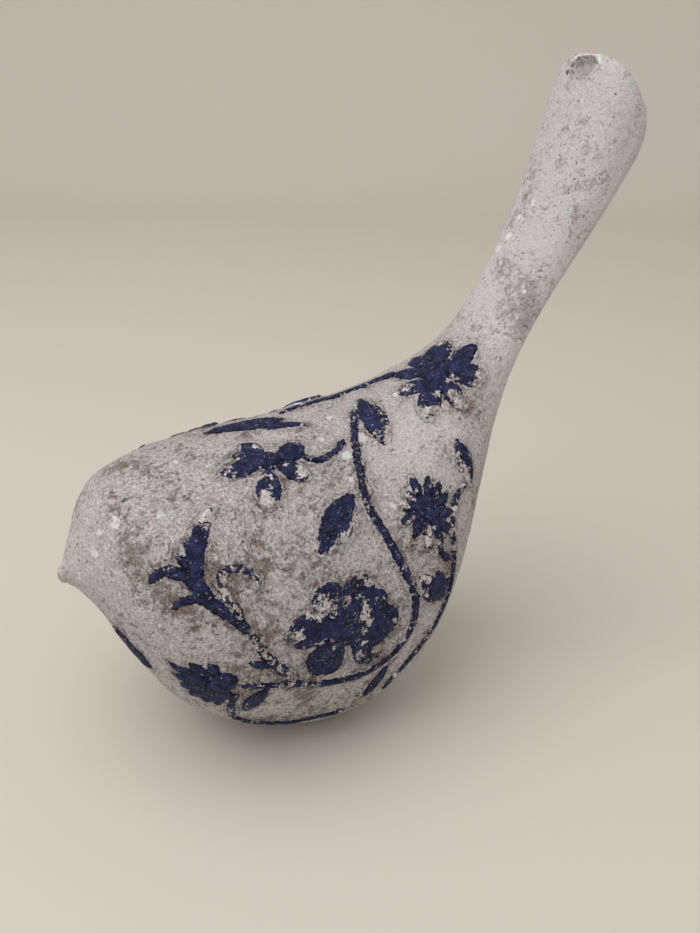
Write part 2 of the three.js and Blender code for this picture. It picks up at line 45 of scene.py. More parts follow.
# The camera looks down on the bird's left flank from in front of it, from a hand's height above.
# Its place and tilt are those of the photograph.
CAMERA_PLACE = (-98.5, -201.4, 186.0)
CAMERA_HEADING = math.radians(29.8)
CAMERA_TILT = math.radians(27.0)
CAMERA_ROLL = math.radians(1.14)
CAMERA_LENS = 37.1
SENSOR_WIDTH = 36

heading_sin, heading_cos = math.sin(CAMERA_HEADING), math.cos(CAMERA_HEADING)
tilt_sin, tilt_cos = math.sin(CAMERA_TILT), math.cos(CAMERA_TILT)
sight = Vector((heading_sin * tilt_cos, heading_cos * tilt_cos, -tilt_sin))
level = Vector((heading_cos, -heading_sin, 0))
above = Vector((heading_sin * tilt_sin, heading_cos * tilt_sin, tilt_cos))
camera_right = level * math.cos(CAMERA_ROLL) + above * math.sin(CAMERA_ROLL)
camera_up = above * math.cos(CAMERA_ROLL) - level * math.sin(CAMERA_ROLL)

camera_data = bpy.data.cameras.new("camera")
camera_data.lens = CAMERA_LENS
camera_data.sensor_width = SENSOR_WIDTH
camera_data.clip_start = 0.01
camera = bpy.data.objects.new("camera", camera_data)
camera.matrix_world = Matrix.Translation(Vector(CAMERA_PLACE) * MM) @ Matrix(
    (camera_right, camera_up, -sight)).transposed().to_4x4()
bpy.context.collection.objects.link(camera)
bpy.context.scene.camera = camera

# The bird's skin: a loft through twelve stations from the beak to the tail end. Each station has a
# point on the back and one on the belly, a half width, and a squareness, where 2 is an ellipse.
STATIONS = [
    # back x, back z, belly x, belly z, half width, squareness
    (-61.5, 60, -61.5, 54.9, 1.9, 2),
    (-59.5, 64.5, -58.5, 52, 5.5, 2),
    (-55.4, 72.2, -52.8, 42.3, 15.6, 2),
    (-39.7, 81.3, -42.5, 21.3, 30.7, 2),
    (-13.7, 83.5, -24.9, 4.9, 36.3, 2.05),
    (5.7, 85.2, 0, -4.3, 35.6, 2.1),
    (23.4, 87.1, 20.9, 2.7, 34.9, 2.1),
    (43.8, 95.6, 41.6, 31, 22.9, 2.1),
    (58.1, 108.5, 57.6, 80.4, 13.1, 2.2),
    (72.2, 134.2, 82, 121.4, 13.2, 2.4),
    (77.8, 148.5, 89.6, 133.2, 14.6, 2.5),
    (81.8, 164.6, 96.2, 142, 14.8, 2.5),
]
BEAK_ROUNDING = 1.6
TAIL_ROUNDING = 9.4
BEAK_BLUNTNESS = 2
TAIL_BLUNTNESS = 3.7
SKIN_STEP = 0.4


def spline(at, values):
    """A natural cubic spline through values at rising positions."""
    at, values = np.asarray(at, float), np.asarray(values, float)
    gap = np.diff(at)
    slope = np.diff(values) / gap
    matrix = np.eye(len(at))
    right = np.zeros(len(at))
    for i in range(1, len(at) - 1):
        matrix[i, i - 1:i + 2] = gap[i - 1], 2 * (gap[i - 1] + gap[i]), gap[i]
        right[i] = 6 * (slope[i] - slope[i - 1])
    bend = np.linalg.solve(matrix, right)

    def value(q):
        i = np.clip(np.searchsorted(at, q, side="left") - 1, 0, len(at) - 2)
        b = (q - at[i]) / gap[i]
        a = 1 - b
        curved = (a ** 3 - a) * bend[i] + (b ** 3 - b) * bend[i + 1]
        return a * values[i] + b * values[i + 1] + curved * gap[i] ** 2 / 6

    return value


table = np.array(STATIONS, float)
middles = (table[:, 0:2] + table[:, 2:4]) / 2
places = np.concatenate([[0], np.cumsum(np.hypot(*np.diff(middles, axis=0).T))])
LENGTH = places[-1]
outlines = [spline(places, column) for column in table.T]
beak_axis = (middles[0] - middles[1]) / np.linalg.norm(middles[0] - middles[1])
tail_axis = (middles[-1] - middles[-2]) / np.linalg.norm(middles[-1] - middles[-2])


def on_skin(along, degrees):
    """Points of the skin, by distance along the mid line and angle from the back round the left."""
    along, degrees = np.broadcast_arrays(np.asarray(along, float), np.asarray(degrees, float))
    inside = np.clip(along, 0, LENGTH)
    past = np.abs(along - inside)
    at_beak = along < 0
    share = np.minimum(past / np.where(at_beak, BEAK_ROUNDING, TAIL_ROUNDING), 1)
    power = np.where(at_beak, BEAK_BLUNTNESS, TAIL_BLUNTNESS)
    shrink = (1 - share ** power) ** (1 / power)
    back_x, back_z, belly_x, belly_z, half_width, squareness = (outline(inside) for outline in outlines)
    axis_x = np.where(at_beak, beak_axis[0], tail_axis[0])
    axis_z = np.where(at_beak, beak_axis[1], tail_axis[1])
    angle = np.radians(degrees)
    up = np.sign(np.cos(angle)) * np.abs(np.cos(angle)) ** (2 / squareness)
    out = np.sign(np.sin(angle)) * np.abs(np.sin(angle)) ** (2 / squareness)
    x = (back_x + belly_x) / 2 + axis_x * past + (back_x - belly_x) / 2 * shrink * up
    z = (back_z + belly_z) / 2 + axis_z * past + (back_z - belly_z) / 2 * shrink * up
    return np.stack([x, -half_width * shrink * out, z], -1)


def skin_frame(along, degrees):
    """The skin's points there, the way out, and how the skin runs towards the tail and the belly."""
    step = SKIN_STEP
    point = on_skin(along, degrees)
    to_tail = (on_skin(along + step, degrees) - on_skin(along - step, degrees)) / (2 * step)
    to_belly = (on_skin(along, degrees + step) - on_skin(along, degrees - step)) / (2 * step)
    out = np.cross(to_belly, to_tail)
    out /= np.linalg.norm(out, axis=-1, keepdims=True)
    return point, out, to_tail, to_belly


def lifted(along, degrees, lift):
    """Points at a height over the skin."""
    point, out, _, _ = skin_frame(np.asarray(along, float), np.asarray(degrees, float))
    return point + out * np.asarray(lift)[..., None]


def mesh_object(name, points, faces):
    """An object at the origin from points in millimetres."""
    mesh = bpy.data.meshes.new(name)
    mesh.from_pydata((np.asarray(points) * MM).tolist(), [], faces)
    mesh.update()
    made = bpy.data.objects.new(name, mesh)
    bpy.context.collection.objects.link(made)
    return made


def loft(rings, start, end):
    """Points and faces of a closed body through rings of points, with a point at each end."""
    count, sides, _ = rings.shape
    points = np.vstack([[start], rings.reshape(-1, 3), [end]])
    grid = 1 + np.arange(count * sides).reshape(count, sides)
    following = np.roll(grid, -1, axis=1)
    quads = np.stack([grid[:-1], following[:-1], following[1:], grid[1:]], -1).reshape(-1, 4).tolist()
    first = [(0, b, a) for a, b in zip(grid[0].tolist(), following[0].tolist())]
    last = [(len(points) - 1, a, b) for a, b in zip(grid[-1].tolist(), following[-1].tolist())]
    return points, quads + first + last


# Cast resin stone: a grey lilac skin with a brown wash in its hollows, deepened there with painted
# shade, chalky high spots, white flecks and small pits. The raised pattern shows the same stone where
# its paint has rubbed off.
def feed(tree, socket, value):
    """Sets a socket to a number or a colour, or links another socket to it."""
    if isinstance(value, tuple):
        socket.default_value = (*value, 1)
    elif isinstance(value, (int, float)):
        socket.default_value = value
    else:
        tree.links.new(value, socket)


def object_place(tree):
    return tree.nodes.new("ShaderNodeTexCoord").outputs["Object"]


def new_group(name, takes, gives):
    """A shader node group, with the sockets that it takes numbers from and gives its results to."""
    group = bpy.data.node_groups.new(name, "ShaderNodeTree")
    for label in takes:
        group.interface.new_socket(name=label, in_out="INPUT", socket_type="NodeSocketFloat")
    for label, kind in gives.items():
        group.interface.new_socket(name=label, in_out="OUTPUT", socket_type="NodeSocket" + kind)
    given = group.nodes.new("NodeGroupInput").outputs
    result = group.nodes.new("NodeGroupOutput").inputs
    return group, given, result, object_place(group)


def noise(tree, place, scale, detail=4.0, roughness=0.6, distortion=0.0):
    node = tree.nodes.new("ShaderNodeTexNoise")
    node.inputs["Scale"].default_value = scale
    node.inputs["Detail"].default_value = detail
    node.inputs["Roughness"].default_value = roughness
    node.inputs["Distortion"].default_value = distortion
    tree.links.new(place, node.inputs["Vector"])
    return node.outputs["Fac"]


def sum_up(tree, operation, a, b, clamp=False):
    node = tree.nodes.new("ShaderNodeMath")
    node.operation = operation
    node.use_clamp = clamp
    feed(tree, node.inputs[0], a)
    feed(tree, node.inputs[1], b)
    return node.outputs[0]


def times(tree, a, b):
    return sum_up(tree, "MULTIPLY", a, b)


def plus(tree, a, b, clamp=False):
    return sum_up(tree, "ADD", a, b, clamp)


def minus(tree, a, b):
    return sum_up(tree, "SUBTRACT", a, b)


def off(tree, value, middle):
    """How far a value lies from a middle one, on either side."""
    return sum_up(tree, "ABSOLUTE", minus(tree, value, middle), 0)


def ease(tree, value, low, high, to_low=0.0, to_high=1.0):
    """A smooth step from one end of a range to the other, for masks."""
    node = tree.nodes.new("ShaderNodeMapRange")
    node.interpolation_type = "SMOOTHSTEP"
    limits = {"From Min": low, "From Max": high, "To Min": to_low, "To Max": to_high}
    for name, number in limits.items():
        node.inputs[name].default_value = number
    tree.links.new(value, node.inputs["Value"])
    return node.outputs["Result"]


def blend_colour(tree, share, low, high):
    node = tree.nodes.new("ShaderNodeMix")
    node.data_type = "RGBA"
    for number, value in ((0, share), (6, low), (7, high)):
        feed(tree, node.inputs[number], value)
    return node.outputs[2]


# The stain and crack colours also paint shade: in hollows, at the pattern's foot, in the burst bubble
# and along the chip's edge. The chalk colour also paints light on the paler patches.
STONE_LIGHT = (0.745, 0.70, 0.692)
STONE_MID = (0.44, 0.41, 0.402)
STONE_STAIN_AND_SHADE = (0.255, 0.195, 0.165)
STONE_CRACK_AND_SHADE = (0.095, 0.066, 0.052)
STONE_CHALK_AND_LIGHT = (0.88, 0.865, 0.86)
STONE_CALM = (0.66, 0.633, 0.664)


def stone_group():
    """Colour, height and roughness of the cast stone. Calm makes it paler and smoother, as on the tail.
    One input makes it paler and chalkier, or browner where negative: partly the wash's own unevenness,
    partly painted light and shade. Another adds brown where the wash pools, deepened with painted
    shade."""
    group, given, result, place = new_group(
        "cast_stone_skin", ("Calm", "Wash and light", "Pooled wash and shade"),
        {"Colour": "Color", "Height": "Float", "Roughness": "Float"})
    calm, wash_and_light = given["Calm"], given["Wash and light"]
    lively = ease(group, calm, 0.0, 1.0, 1.0, 0.62)

    # Each noise's first number is how many of its waves there are to the metre.
    grain = noise(group, place, 3000, 2, 0.8)
    crumbs = noise(group, place, 1400, 4, 0.75)
    lumps = noise(group, place, 460, 6, 0.68)
    mottle = noise(group, place, 540, 7, 0.74, 0.2)
    clouds = noise(group, place, 85, 3, 0.5)
    folds = noise(group, place, 430, 3, 0.5, 0.9)

    # The bare stone.
    base = blend_colour(group, ease(group, crumbs, 0.39, 0.58), STONE_MID, STONE_LIGHT)
    base = blend_colour(group, ease(group, grain, 0.46, 0.34, 0.0, 0.7), base, STONE_STAIN_AND_SHADE)
    base = blend_colour(group, times(group, calm, 0.7), base, STONE_CALM)
    # Paler and chalkier on the positive patches: partly wiped wash, partly painted light.
    base = blend_colour(group, ease(group, wash_and_light, 0.5, 2.3, 0.0, 0.4), base, STONE_CHALK_AND_LIGHT)
    # The brown wash, in ragged patches that gather in clouds, with dark cracks along its folds.
    gathered = times(group, minus(group, clouds, 0.5), 0.6)
    ragged = plus(group, mottle, gathered)
    # The same patches thin the wash, or thicken it where negative: partly real, partly painted shade.
    ragged = minus(group, ragged, times(group, wash_and_light, 0.085))
    ragged = minus(group, ragged, times(group, calm, 0.035))
    stain_and_shade = ease(group, ragged, 0.53, 0.66, 0.0, 0.8)
    stain_and_shade = times(group, stain_and_shade, lively)
    # Brown pooled in hollows and beside the pattern joins the wash here: wash deepened with painted
    # shade.
    stain_and_shade = plus(group, stain_and_shade, given["Pooled wash and shade"], clamp=True)
    colour = blend_colour(group, stain_and_shade, base, STONE_STAIN_AND_SHADE)
    fold_line = ease(group, off(group, folds, 0.5), 0.015, 0.004)
    crack = times(group, fold_line, ease(group, ragged, 0.46, 0.58, 0.0, 0.85))
    crack = times(group, crack, lively)
    colour = blend_colour(group, crack, colour, STONE_CRACK_AND_SHADE)
    # Chalky high spots, white flecks and dark pits.
    chalk = times(group, ease(group, crumbs, 0.57, 0.67), ease(group, ragged, 0.62, 0.50, 0.3, 1.0))
    chalk = times(group, chalk, ease(group, calm, 0.0, 1.0, 0.85, 0.45))
    colour = blend_colour(group, chalk, colour, STONE_CHALK_AND_LIGHT)
    fleck = ease(group, noise(group, place, 330, 2, 0.5, 0.2), 0.745, 0.765, 0.0, 0.75)
    colour = blend_colour(group, fleck, colour, STONE_CHALK_AND_LIGHT)
    pit = minus(group, noise(group, place, 1400, 1, 0.4), times(group, calm, 0.006))
    pit = ease(group, pit, 0.285, 0.25)
    pit = times(group, pit, ease(group, noise(group, place, 110, 2, 0.5), 0.40, 0.54))
    colour = blend_colour(group, times(group, pit, 0.85), colour, STONE_CRACK_AND_SHADE)

    height = plus(group, times(group, lumps, 1.5), times(group, crumbs, 0.8))
    height = plus(group, height, times(group, grain, 0.3))
    height = minus(group, height, times(group, stain_and_shade, 0.25))
    height = times(group, height, lively)
    height = minus(group, height, times(group, pit, 0.4))
    height = minus(group, height, times(group, crack, 0.3))
    group.links.new(colour, result["Colour"])
    group.links.new(height, result["Height"])
    group.links.new(ease(group, grain, 0.3, 0.7, 0.84, 0.97), result["Roughness"])
    return group


STONE = stone_group()


def stone_in(tree, calm=0.0, pooled_wash_and_shade=0.0, wash_and_light=0.0):
    node = tree.nodes.new("ShaderNodeGroup")
    node.node_tree = STONE
    for name, value in (("Calm", calm), ("Pooled wash and shade", pooled_wash_and_shade), ("Wash and light", wash_and_light)):
        feed(tree, node.inputs[name], value)
    return node.outputs["Colour"], node.outputs["Height"], node.outputs["Roughness"]


def new_material(name):
    material = bpy.data.materials.new(name)
    material.use_nodes = True
    shader = material.node_tree.nodes["Principled BSDF"]
    return material, material.node_tree, shader


def bump_into(tree, shader, height, distance, strength=1.0):
    node = tree.nodes.new("ShaderNodeBump")
    node.inputs["Distance"].default_value = distance
    node.inputs["Strength"].default_value = strength
    tree.links.new(height, node.inputs["Height"])
    tree.links.new(node.outputs["Normal"], shader.inputs["Normal"])


def attribute(tree, name):
    node = tree.nodes.new("ShaderNodeAttribute")
    node.attribute_name = name
    return node.outputs["Fac"]


# The raised pattern: vines, leaves and flowers, cast in one with the skin and brushed with dark blue
# paint. The brush missed the lowest rims, and handling has rubbed the petal tips down to the stone.
# Heights are over the skin: where the shapes start, at their edges, and at their crowns.
PATTERN_ROOT = -0.5
PATTERN_EDGE = 0.62
PATTERN_CROWN = 1.15
PATTERN_VOXEL = 0.26
BOSS_HEIGHT = 1.55
BOSS_SIDES = 24
BOSS_SHARES = (0.5, 1, 1, 0.94, 0.8, 0.55, 0.28)
BOSS_LEVELS = (0.62, 0.86, 1, 1, 0.9)
BLADE_TOP = 15
BLADE_UNDER = 5
STEM_ARCH = 11
STEM_STEP = 0.8
VINE_WIDTH = 1.7
TWIG_WIDTH = 1.5
ROUGH_WAVE = 1.6
ROUGH_HEIGHT = 0.3
BARE_WEAR = 1.2
BARE_SPREAD = 2.1


def drawing_at(along, degrees):
    """A flat drawing laid on the skin: millimetres towards tail and belly give a place on the skin."""
    _, _, to_tail, to_belly = skin_frame(np.float64(along), np.float64(degrees))
    tailward = to_tail / np.linalg.norm(to_tail)
    slant = to_belly @ tailward
    across = np.linalg.norm(to_belly - slant * tailward)

    def place(p, q):
        turn = q / across
        return along + (p - slant * turn) / np.linalg.norm(to_tail), degrees + turn

    return place


def polar(degrees, distance):
    return distance * math.cos(math.radians(degrees)), distance * math.sin(math.radians(degrees))


def blade(root, tip, width, fullness=1.0, bluntness=0.8, sway=0.0, cup=0.0, vein=0.0,
          rub=0.0, side_rub=0.0):
    """A petal or leaf from root to tip. A cup sinks its middle and a vein grooves it. Rub bares its
    tip, and side rub its side: the left one, seen from the root, or the right one where negative."""
    def build(drawing):
        axis = np.subtract(tip, root)
        length = np.hypot(*axis)
        axis = axis / length
        # t runs from the root to the tip, and v across the top and back under it.
        t = np.linspace(0.02, 0.98, max(12, int(length * 1.6)))[:, None]
        over, under = np.linspace(-1, 1, BLADE_TOP), np.linspace(0.7, -0.7, BLADE_UNDER)
        v = np.concatenate([over, under])[None, :]
        top = (np.arange(BLADE_TOP + BLADE_UNDER) < BLADE_TOP)[None, :]
        half = width / 2 * np.sin(np.pi * t ** fullness) ** bluntness
        bow = sway * 4 * t * (1 - t)
        p = root[0] + axis[0] * t * length - axis[1] * (bow + v * half)
        q = root[1] + axis[1] * t * length + axis[0] * (bow + v * half)
        along, degrees = drawing(p, q)
        ends = np.minimum(1, np.sin(np.pi * t) * 2.2) ** 0.6
        rise = PATTERN_CROWN - PATTERN_EDGE
        swell = PATTERN_EDGE * (0.55 + 0.45 * ends) + rise * ends * (1 - np.abs(v) ** 2.6)
        swell = swell - cup * ends * np.exp(-(v / 0.55) ** 2) - vein * ends * np.exp(-(v / 0.14) ** 2)
        lift = np.where(top, swell, PATTERN_ROOT)
        rings = lifted(along, degrees, lift)
        start = lifted(*drawing(*root), 0.2)
        end = lifted(*drawing(*tip), 0.2)
        bare_side = np.clip((v * np.sign(side_rub) - 0.2) / 0.4, 0, 1)
        bare = rub * np.clip((t - 0.55) / 0.4, 0, 1) + abs(side_rub) * bare_side
        return (*loft(rings, start, end), np.concatenate([[0], bare.ravel(), [rub]]))

    return build


def petal(degrees, length, width, root=1.4, fullness=1.35, bluntness=0.7, cup=0.22, rub=0.6):
    return blade(polar(degrees, root), polar(degrees, length), width, fullness=fullness,
                 bluntness=bluntness, cup=cup, rub=rub)


def boss(radius, centre=(0, 0)):
    """A round boss, such as a flower's middle, with a slightly sunken crown."""
    def build(drawing):
        turn = np.linspace(0, 2 * np.pi, BOSS_SIDES, endpoint=False)[None, :]
        share = np.array(BOSS_SHARES)[:, None]
        lift = np.concatenate([[PATTERN_ROOT, PATTERN_ROOT], BOSS_HEIGHT * np.array(BOSS_LEVELS)])
        p = centre[0] + radius * share * np.cos(turn)
        q = centre[1] + radius * share * np.sin(turn)
        rings = lifted(*drawing(p, q), np.broadcast_to(lift[:, None], p.shape))
        start = lifted(*drawing(*centre), PATTERN_ROOT)
        end = lifted(*drawing(*centre), BOSS_HEIGHT * 0.86)
        return (*loft(rings, start, end), np.zeros(rings.shape[0] * rings.shape[1] + 2))

    return build


def stem(route, start_width, end_width=None, rub=0.0):
    """A stem through places on the skin, each as (along the bird, angle round it)."""
    def build(_):
        route_points = np.array(route, float)
        steps = np.arange(len(route_points))
        run = [spline(steps, column) for column in route_points.T]
        rough = on_skin(run[0](np.linspace(0, steps[-1], 200)), run[1](np.linspace(0, steps[-1], 200)))
        length = np.linalg.norm(np.diff(rough, axis=0), axis=1).sum()
        count = max(10, int(length / STEM_STEP))
        t = np.linspace(0, 1, count)
        point, out, _, _ = skin_frame(run[0](t * steps[-1]), run[1](t * steps[-1]))
        heading = np.gradient(point, axis=0)
        heading /= np.linalg.norm(heading, axis=1, keepdims=True)
        side = np.cross(heading, out)
        side /= np.linalg.norm(side, axis=1, keepdims=True)
        last_width = start_width if end_width is None else end_width
        ends = np.minimum(1, np.minimum(t, 1 - t) * length / 1.2 + 0.25)
        half = (start_width + (last_width - start_width) * t) / 2 * ends
        turn = np.linspace(0, np.pi, STEM_ARCH)
        across = np.concatenate([np.cos(turn), [-0.9, 0.9]])
        level = np.concatenate([np.sin(turn) ** 0.8, [0, 0]])
        base = np.concatenate([np.full(STEM_ARCH, PATTERN_EDGE * 0.55), [PATTERN_ROOT, PATTERN_ROOT]])
        crown = (PATTERN_CROWN - PATTERN_EDGE * 0.55) * level
        rings = (point[:, None] + side[:, None] * across[None, :, None] * half[:, None, None]
                 + out[:, None] * (base + crown)[None, :, None])
        caps = [point[i] + out[i] * 0.3 + way * heading[i] * half[i] for i, way in ((0, -1), (-1, 1))]
        return (*loft(rings, *caps), np.full(rings.shape[0] * rings.shape[1] + 2, rub))

    return build


PAINT_DARK = (0.003, 0.0045, 0.022)
PAINT_BRIGHT = (0.023, 0.031, 0.105)
PAINT_DUST = (0.50, 0.485, 0.50)


def paint_group():
    """Matte navy paint: its colour, and how much of it is left where it is rubbed."""
    group, given, result, place = new_group(
        "worn_blue_paint", ("Rubbed",), {"Colour": "Color", "Left": "Float"})
    # Brush strokes, with pale dust in the paint's own hollows.
    strokes = noise(group, place, 520, 5, 0.68, 0.5)
    colour = blend_colour(group, ease(group, strokes, 0.38, 0.66), PAINT_DARK, PAINT_BRIGHT)
    dust = ease(group, noise(group, place, 1700, 4, 0.7), 0.59, 0.66, 0.0, 0.7)
    dust = times(group, dust, ease(group, noise(group, place, 170, 3, 0.6), 0.42, 0.60, 0.15, 1.0))
    colour = blend_colour(group, dust, colour, PAINT_DUST)
    # Wear, from pin holes to whole patches.
    worn = times(group, noise(group, place, 1700, 5, 0.75), 0.7)
    worn = plus(group, worn, times(group, noise(group, place, 640, 3, 0.6), 0.7))
    worn = plus(group, worn, times(group, noise(group, place, 150, 3, 0.55), 0.4))
    worn = plus(group, worn, times(group, given["Rubbed"], 0.25))
    group.links.new(colour, result["Colour"])
    group.links.new(ease(group, worn, 1.095, 1.07), result["Left"])
    return group


PAINT = paint_group()


def paint_in(tree):
    node = tree.nodes.new("ShaderNodeGroup")
    node.node_tree = PAINT
    tree.links.new(attribute(tree, "rubbed"), node.inputs["Rubbed"])
    return node.outputs["Colour"], node.outputs["Left"]


def blue_paint():
    """The paint over the stone, which shows where the paint is thin or rubbed away."""
    material, tree, shader = new_material("blue_paint")
    # The bare stone here is browner than the skin around: painted shade that tones down the raised
    # pattern where it catches the light.
    stone, stone_height, _ = stone_in(tree, 0.0, 0.08, -0.4)
    paint, left = paint_in(tree)
    tree.links.new(blend_colour(tree, left, stone, paint), shader.inputs["Base Color"])
    tree.links.new(ease(tree, left, 0.0, 1.0, 0.93, 0.6), shader.inputs["Roughness"])
    shader.inputs["Specular IOR Level"].default_value = 0.2
    height = plus(tree, stone_height, times(tree, left, 0.5))
    bump_into(tree, shader, height, 0.0002, 0.9)
    return material


BLUE_PAINT = blue_paint()
pattern_pieces = []


def mark(mesh, name, values):
    """Values for the mesh's points, which a material can read by name."""
    mesh.attributes.new(name, "FLOAT", "POINT").data.foreach_set("value", values)


def motif(node, centre, shapes, bare=(), mirrored=False):
    """One motif: its shapes melted into one skin and roughened a little, with its rubbed tips and its
    bare spots marked. A bare spot is (towards tail, towards belly, radius)."""
    drawing = drawing_at(*centre)
    points, faces, rubbed = [], [], []
    for shape in shapes:
        part_points, part_faces, part_rubbed = shape(drawing)
        offset = sum(len(p) for p in points)
        faces += [[i + offset for i in face] for face in part_faces]
        points.append(part_points)
        rubbed.append(part_rubbed)
    points, rubbed = np.vstack(points), np.concatenate(rubbed)
    piece = mesh_object(node, points, faces)
    melt = piece.modifiers.new("melt", "REMESH")
    melt.mode = "VOXEL"
    melt.voxel_size = PATTERN_VOXEL * MM
    melt.use_smooth_shade = True
    soften = piece.modifiers.new("soften", "SMOOTH")
    soften.factor = 0.5
    soften.iterations = 3
    rough = piece.modifiers.new("rough", "DISPLACE")
    rough.texture = ROUGH_CAST
    rough.texture_coords = "LOCAL"
    rough.strength = ROUGH_HEIGHT * MM
    melted = piece.evaluated_get(bpy.context.evaluated_depsgraph_get())
    made = bpy.data.meshes.new_from_object(melted)
    piece.modifiers.clear()
    piece.data = made
    made.name = node
    # Each point of the melted skin takes the wear of the nearest point of the shapes.
    tree = kdtree.KDTree(len(points))
    for i, point in enumerate(points * MM):
        tree.insert(point, i)
    tree.balance()
    wear = np.array([rubbed[tree.find(v.co)[1]] for v in made.vertices])
    corners = np.array([v.co for v in made.vertices]) / MM
    spots = np.zeros(len(wear))
    for p, q, radius in bare:
        away = np.linalg.norm(corners - lifted(*drawing(p, q), PATTERN_CROWN), axis=1)
        spots = np.maximum(spots, BARE_WEAR * np.clip(1 - away / (BARE_SPREAD * radius), 0, 1))
    mark(made, "rubbed", wear + spots)
    if mirrored:
        made.transform(Matrix.Scale(-1, 4, (0, 1, 0)))
        made.flip_normals()
    made.materials.clear()
    made.materials.append(BLUE_PAINT)
    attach(piece, "root")
    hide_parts(node)
    pattern_pieces.append(piece)


ROUGH_CAST = bpy.data.textures.new("rough_cast", "CLOUDS")
ROUGH_CAST.noise_scale = ROUGH_WAVE * MM
ROUGH_CAST.noise_depth = 3

# A petal has its direction, where 0 is towards the tail and 90 towards the belly, its length and its
# width. Lengths run from the flower's middle.
STAR_FLOWER = [
    petal(249, 8.4, 5.4, rub=0.4), petal(352, 11, 6.2, rub=0.4), petal(213, 8.2, 4, rub=0.3),
    petal(176, 11.4, 5, rub=0.4), petal(44, 11, 5.4, rub=0.5), petal(111, 13.5, 6, rub=0.8), boss(2.6),
]
STAR_BARE = [
    (-2.4, 5.2, 1.3), (-2.6, 7.4, 1.1), (-3.9, 8.9, 1.1), (-4.4, 11.4, 1.5), (-1.0, -5.1, 0.9),
    (-6.7, -1.9, 0.8), (6.6, 5.3, 1.2), (3.5, 2.6, 0.8), (10.6, -2.7, 0.9), (0.3, 3.5, 0.8),
]
ROSE_LOBE = dict(root=3, fullness=1.5, bluntness=0.55, cup=0.45)
ROSE = [
    petal(183, 16.5, 11, rub=0.5, **ROSE_LOBE), petal(119, 15.2, 11.5, rub=0.0, **ROSE_LOBE),
    petal(235, 14.6, 9.5, rub=0.5, **ROSE_LOBE), petal(291, 13, 9.5, rub=0.3, **ROSE_LOBE),
    petal(335, 12, 8.5, rub=0.1, **ROSE_LOBE), petal(14, 15, 10, rub=0.1, **ROSE_LOBE),
    petal(52, 16, 8.5, rub=0.5, **ROSE_LOBE), boss(5.5),
]
ROSE_BARE = [
    (-6.5, -6.9, 2.1), (-4.6, -6.0, 1.6), (-8.4, -7.4, 1.2), (-1.0, -6.4, 1.1), (5.2, -3.7, 1.5),
    (4.6, -1.3, 1.2), (5.8, 1.0, 1.3), (5.0, 3.0, 1.2), (3.5, 4.6, 1.3), (6.2, -9.7, 1.0),
    (3.0, -6.9, 0.8), (-13.4, 0.0, 1.3), (1.0, 9.1, 1.3), (4.2, 9.1, 1.4), (10.2, 8.9, 1.4),
    (5.0, 6.4, 1.1), (-11.2, -6.0, 0.8), (-9.6, -5.2, 0.8), (-8.0, -4.4, 0.8), (-6.6, -3.8, 0.8),
    (-5.3, -3.2, 0.8), (-11.2, 4.4, 0.7), (-10.0, 4.1, 0.7), (-8.7, 3.7, 0.7), (-7.4, 3.3, 0.7),
    (-6.0, 2.9, 0.7), (-4.8, 2.8, 0.7), (-3.2, 5.2, 0.7),
]
ACANTHUS = [
    stem([(34.2, 82.5), (32.2, 79.5), (29.5, 76), (27, 73), (25, 69), (23.4, 65)], 1.8, 3.2),
    blade((1, 1.5), (4.4, -17.8), 4.2, bluntness=0.62, sway=-2.9, rub=1.5),
    blade((-0.6, -1.2), (-6.3, -5.1), 1.5, rub=0.7),
    blade((-1, -3.6), (-4.8, -7.6), 1.5, rub=0.9),
    blade((-0.8, -6.4), (-3, -10.4), 1.5, rub=0.9),
    blade((-0.2, -8.4), (-0.9, -11.9), 1.5, rub=0.9),
    stem([(26.2, 69.2), (23.1, 63.4), (20, 59.9), (17.2, 60.2), (15, 65.2)], 2.6, 1.8, rub=0.2),
    stem([(27.7, 73.8), (25.1, 70.9), (22.6, 70.8), (20.3, 72.9), (18.4, 76.9)], 2.3, 1.4, rub=0.3),
]
FAN_FLOWER = [petal(degrees, length, width, root=2, cup=0.1, rub=0.3) for degrees, length, width in (
    (43, 8.6, 3), (61, 11.5, 3.4), (78, 11.6, 3.4), (97, 12.2, 3.4), (117, 11.4, 3.4), (140, 11, 3.2),
    (165, 11.4, 3.2), (193, 8, 3), (233, 5.6, 3))]
FAN_FLOWER.append(boss(3, (1.5, 0)))
DAISY = [petal(degrees, length, 2.4, root=2, cup=0.1, rub=rub) for degrees, length, rub in (
    (242, 6.9, 0.6), (275, 8.4, 0.2), (308, 7.9, 0.2), (340, 7.4, 0.2), (14, 7.6, 0.1), (48, 8.7, 0.1),
    (73, 11, 0.5), (94, 12.4, 0.9), (117, 11, 0.5), (146, 8.5, 0.2), (178, 8, 0.3), (210, 7.3, 1.5))]
DAISY += [boss(3), stem([(88, 68.7), (89.6, 76), (92.6, 82)], 1.4)]
DAISY_BARE = [
    (-4.0, -5.9, 1.4), (-5.4, -4.4, 1.1), (-2.4, -3.5, 0.8), (-0.1, -4.7, 0.7), (4.3, -0.4, 0.8),
    (3.5, -3.9, 0.7), (-4.4, -2.9, 0.7), (-4.6, 0.2, 0.7), (-6.7, 0.8, 0.6), (-2.5, 5.1, 1.2),
    (-4.6, 6.7, 1.4), (-1.9, 8.5, 0.9),
]
BUD = [
    blade(polar(72, 7), polar(250, 6.9), 5, rub=0.6),
    blade(polar(72, 6), polar(304, 5), 3.4, rub=0.3),
    blade(polar(72, 5), polar(190, 4.2), 3.2, rub=0.4),
    blade(polar(90, 4.5), polar(24, 5.4), 3, rub=0.2),
]
BUD_BARE = [(-1.7, -5.7, 0.7), (-0.7, -4.2, 0.7), (-3.1, -0.9, 0.8)]

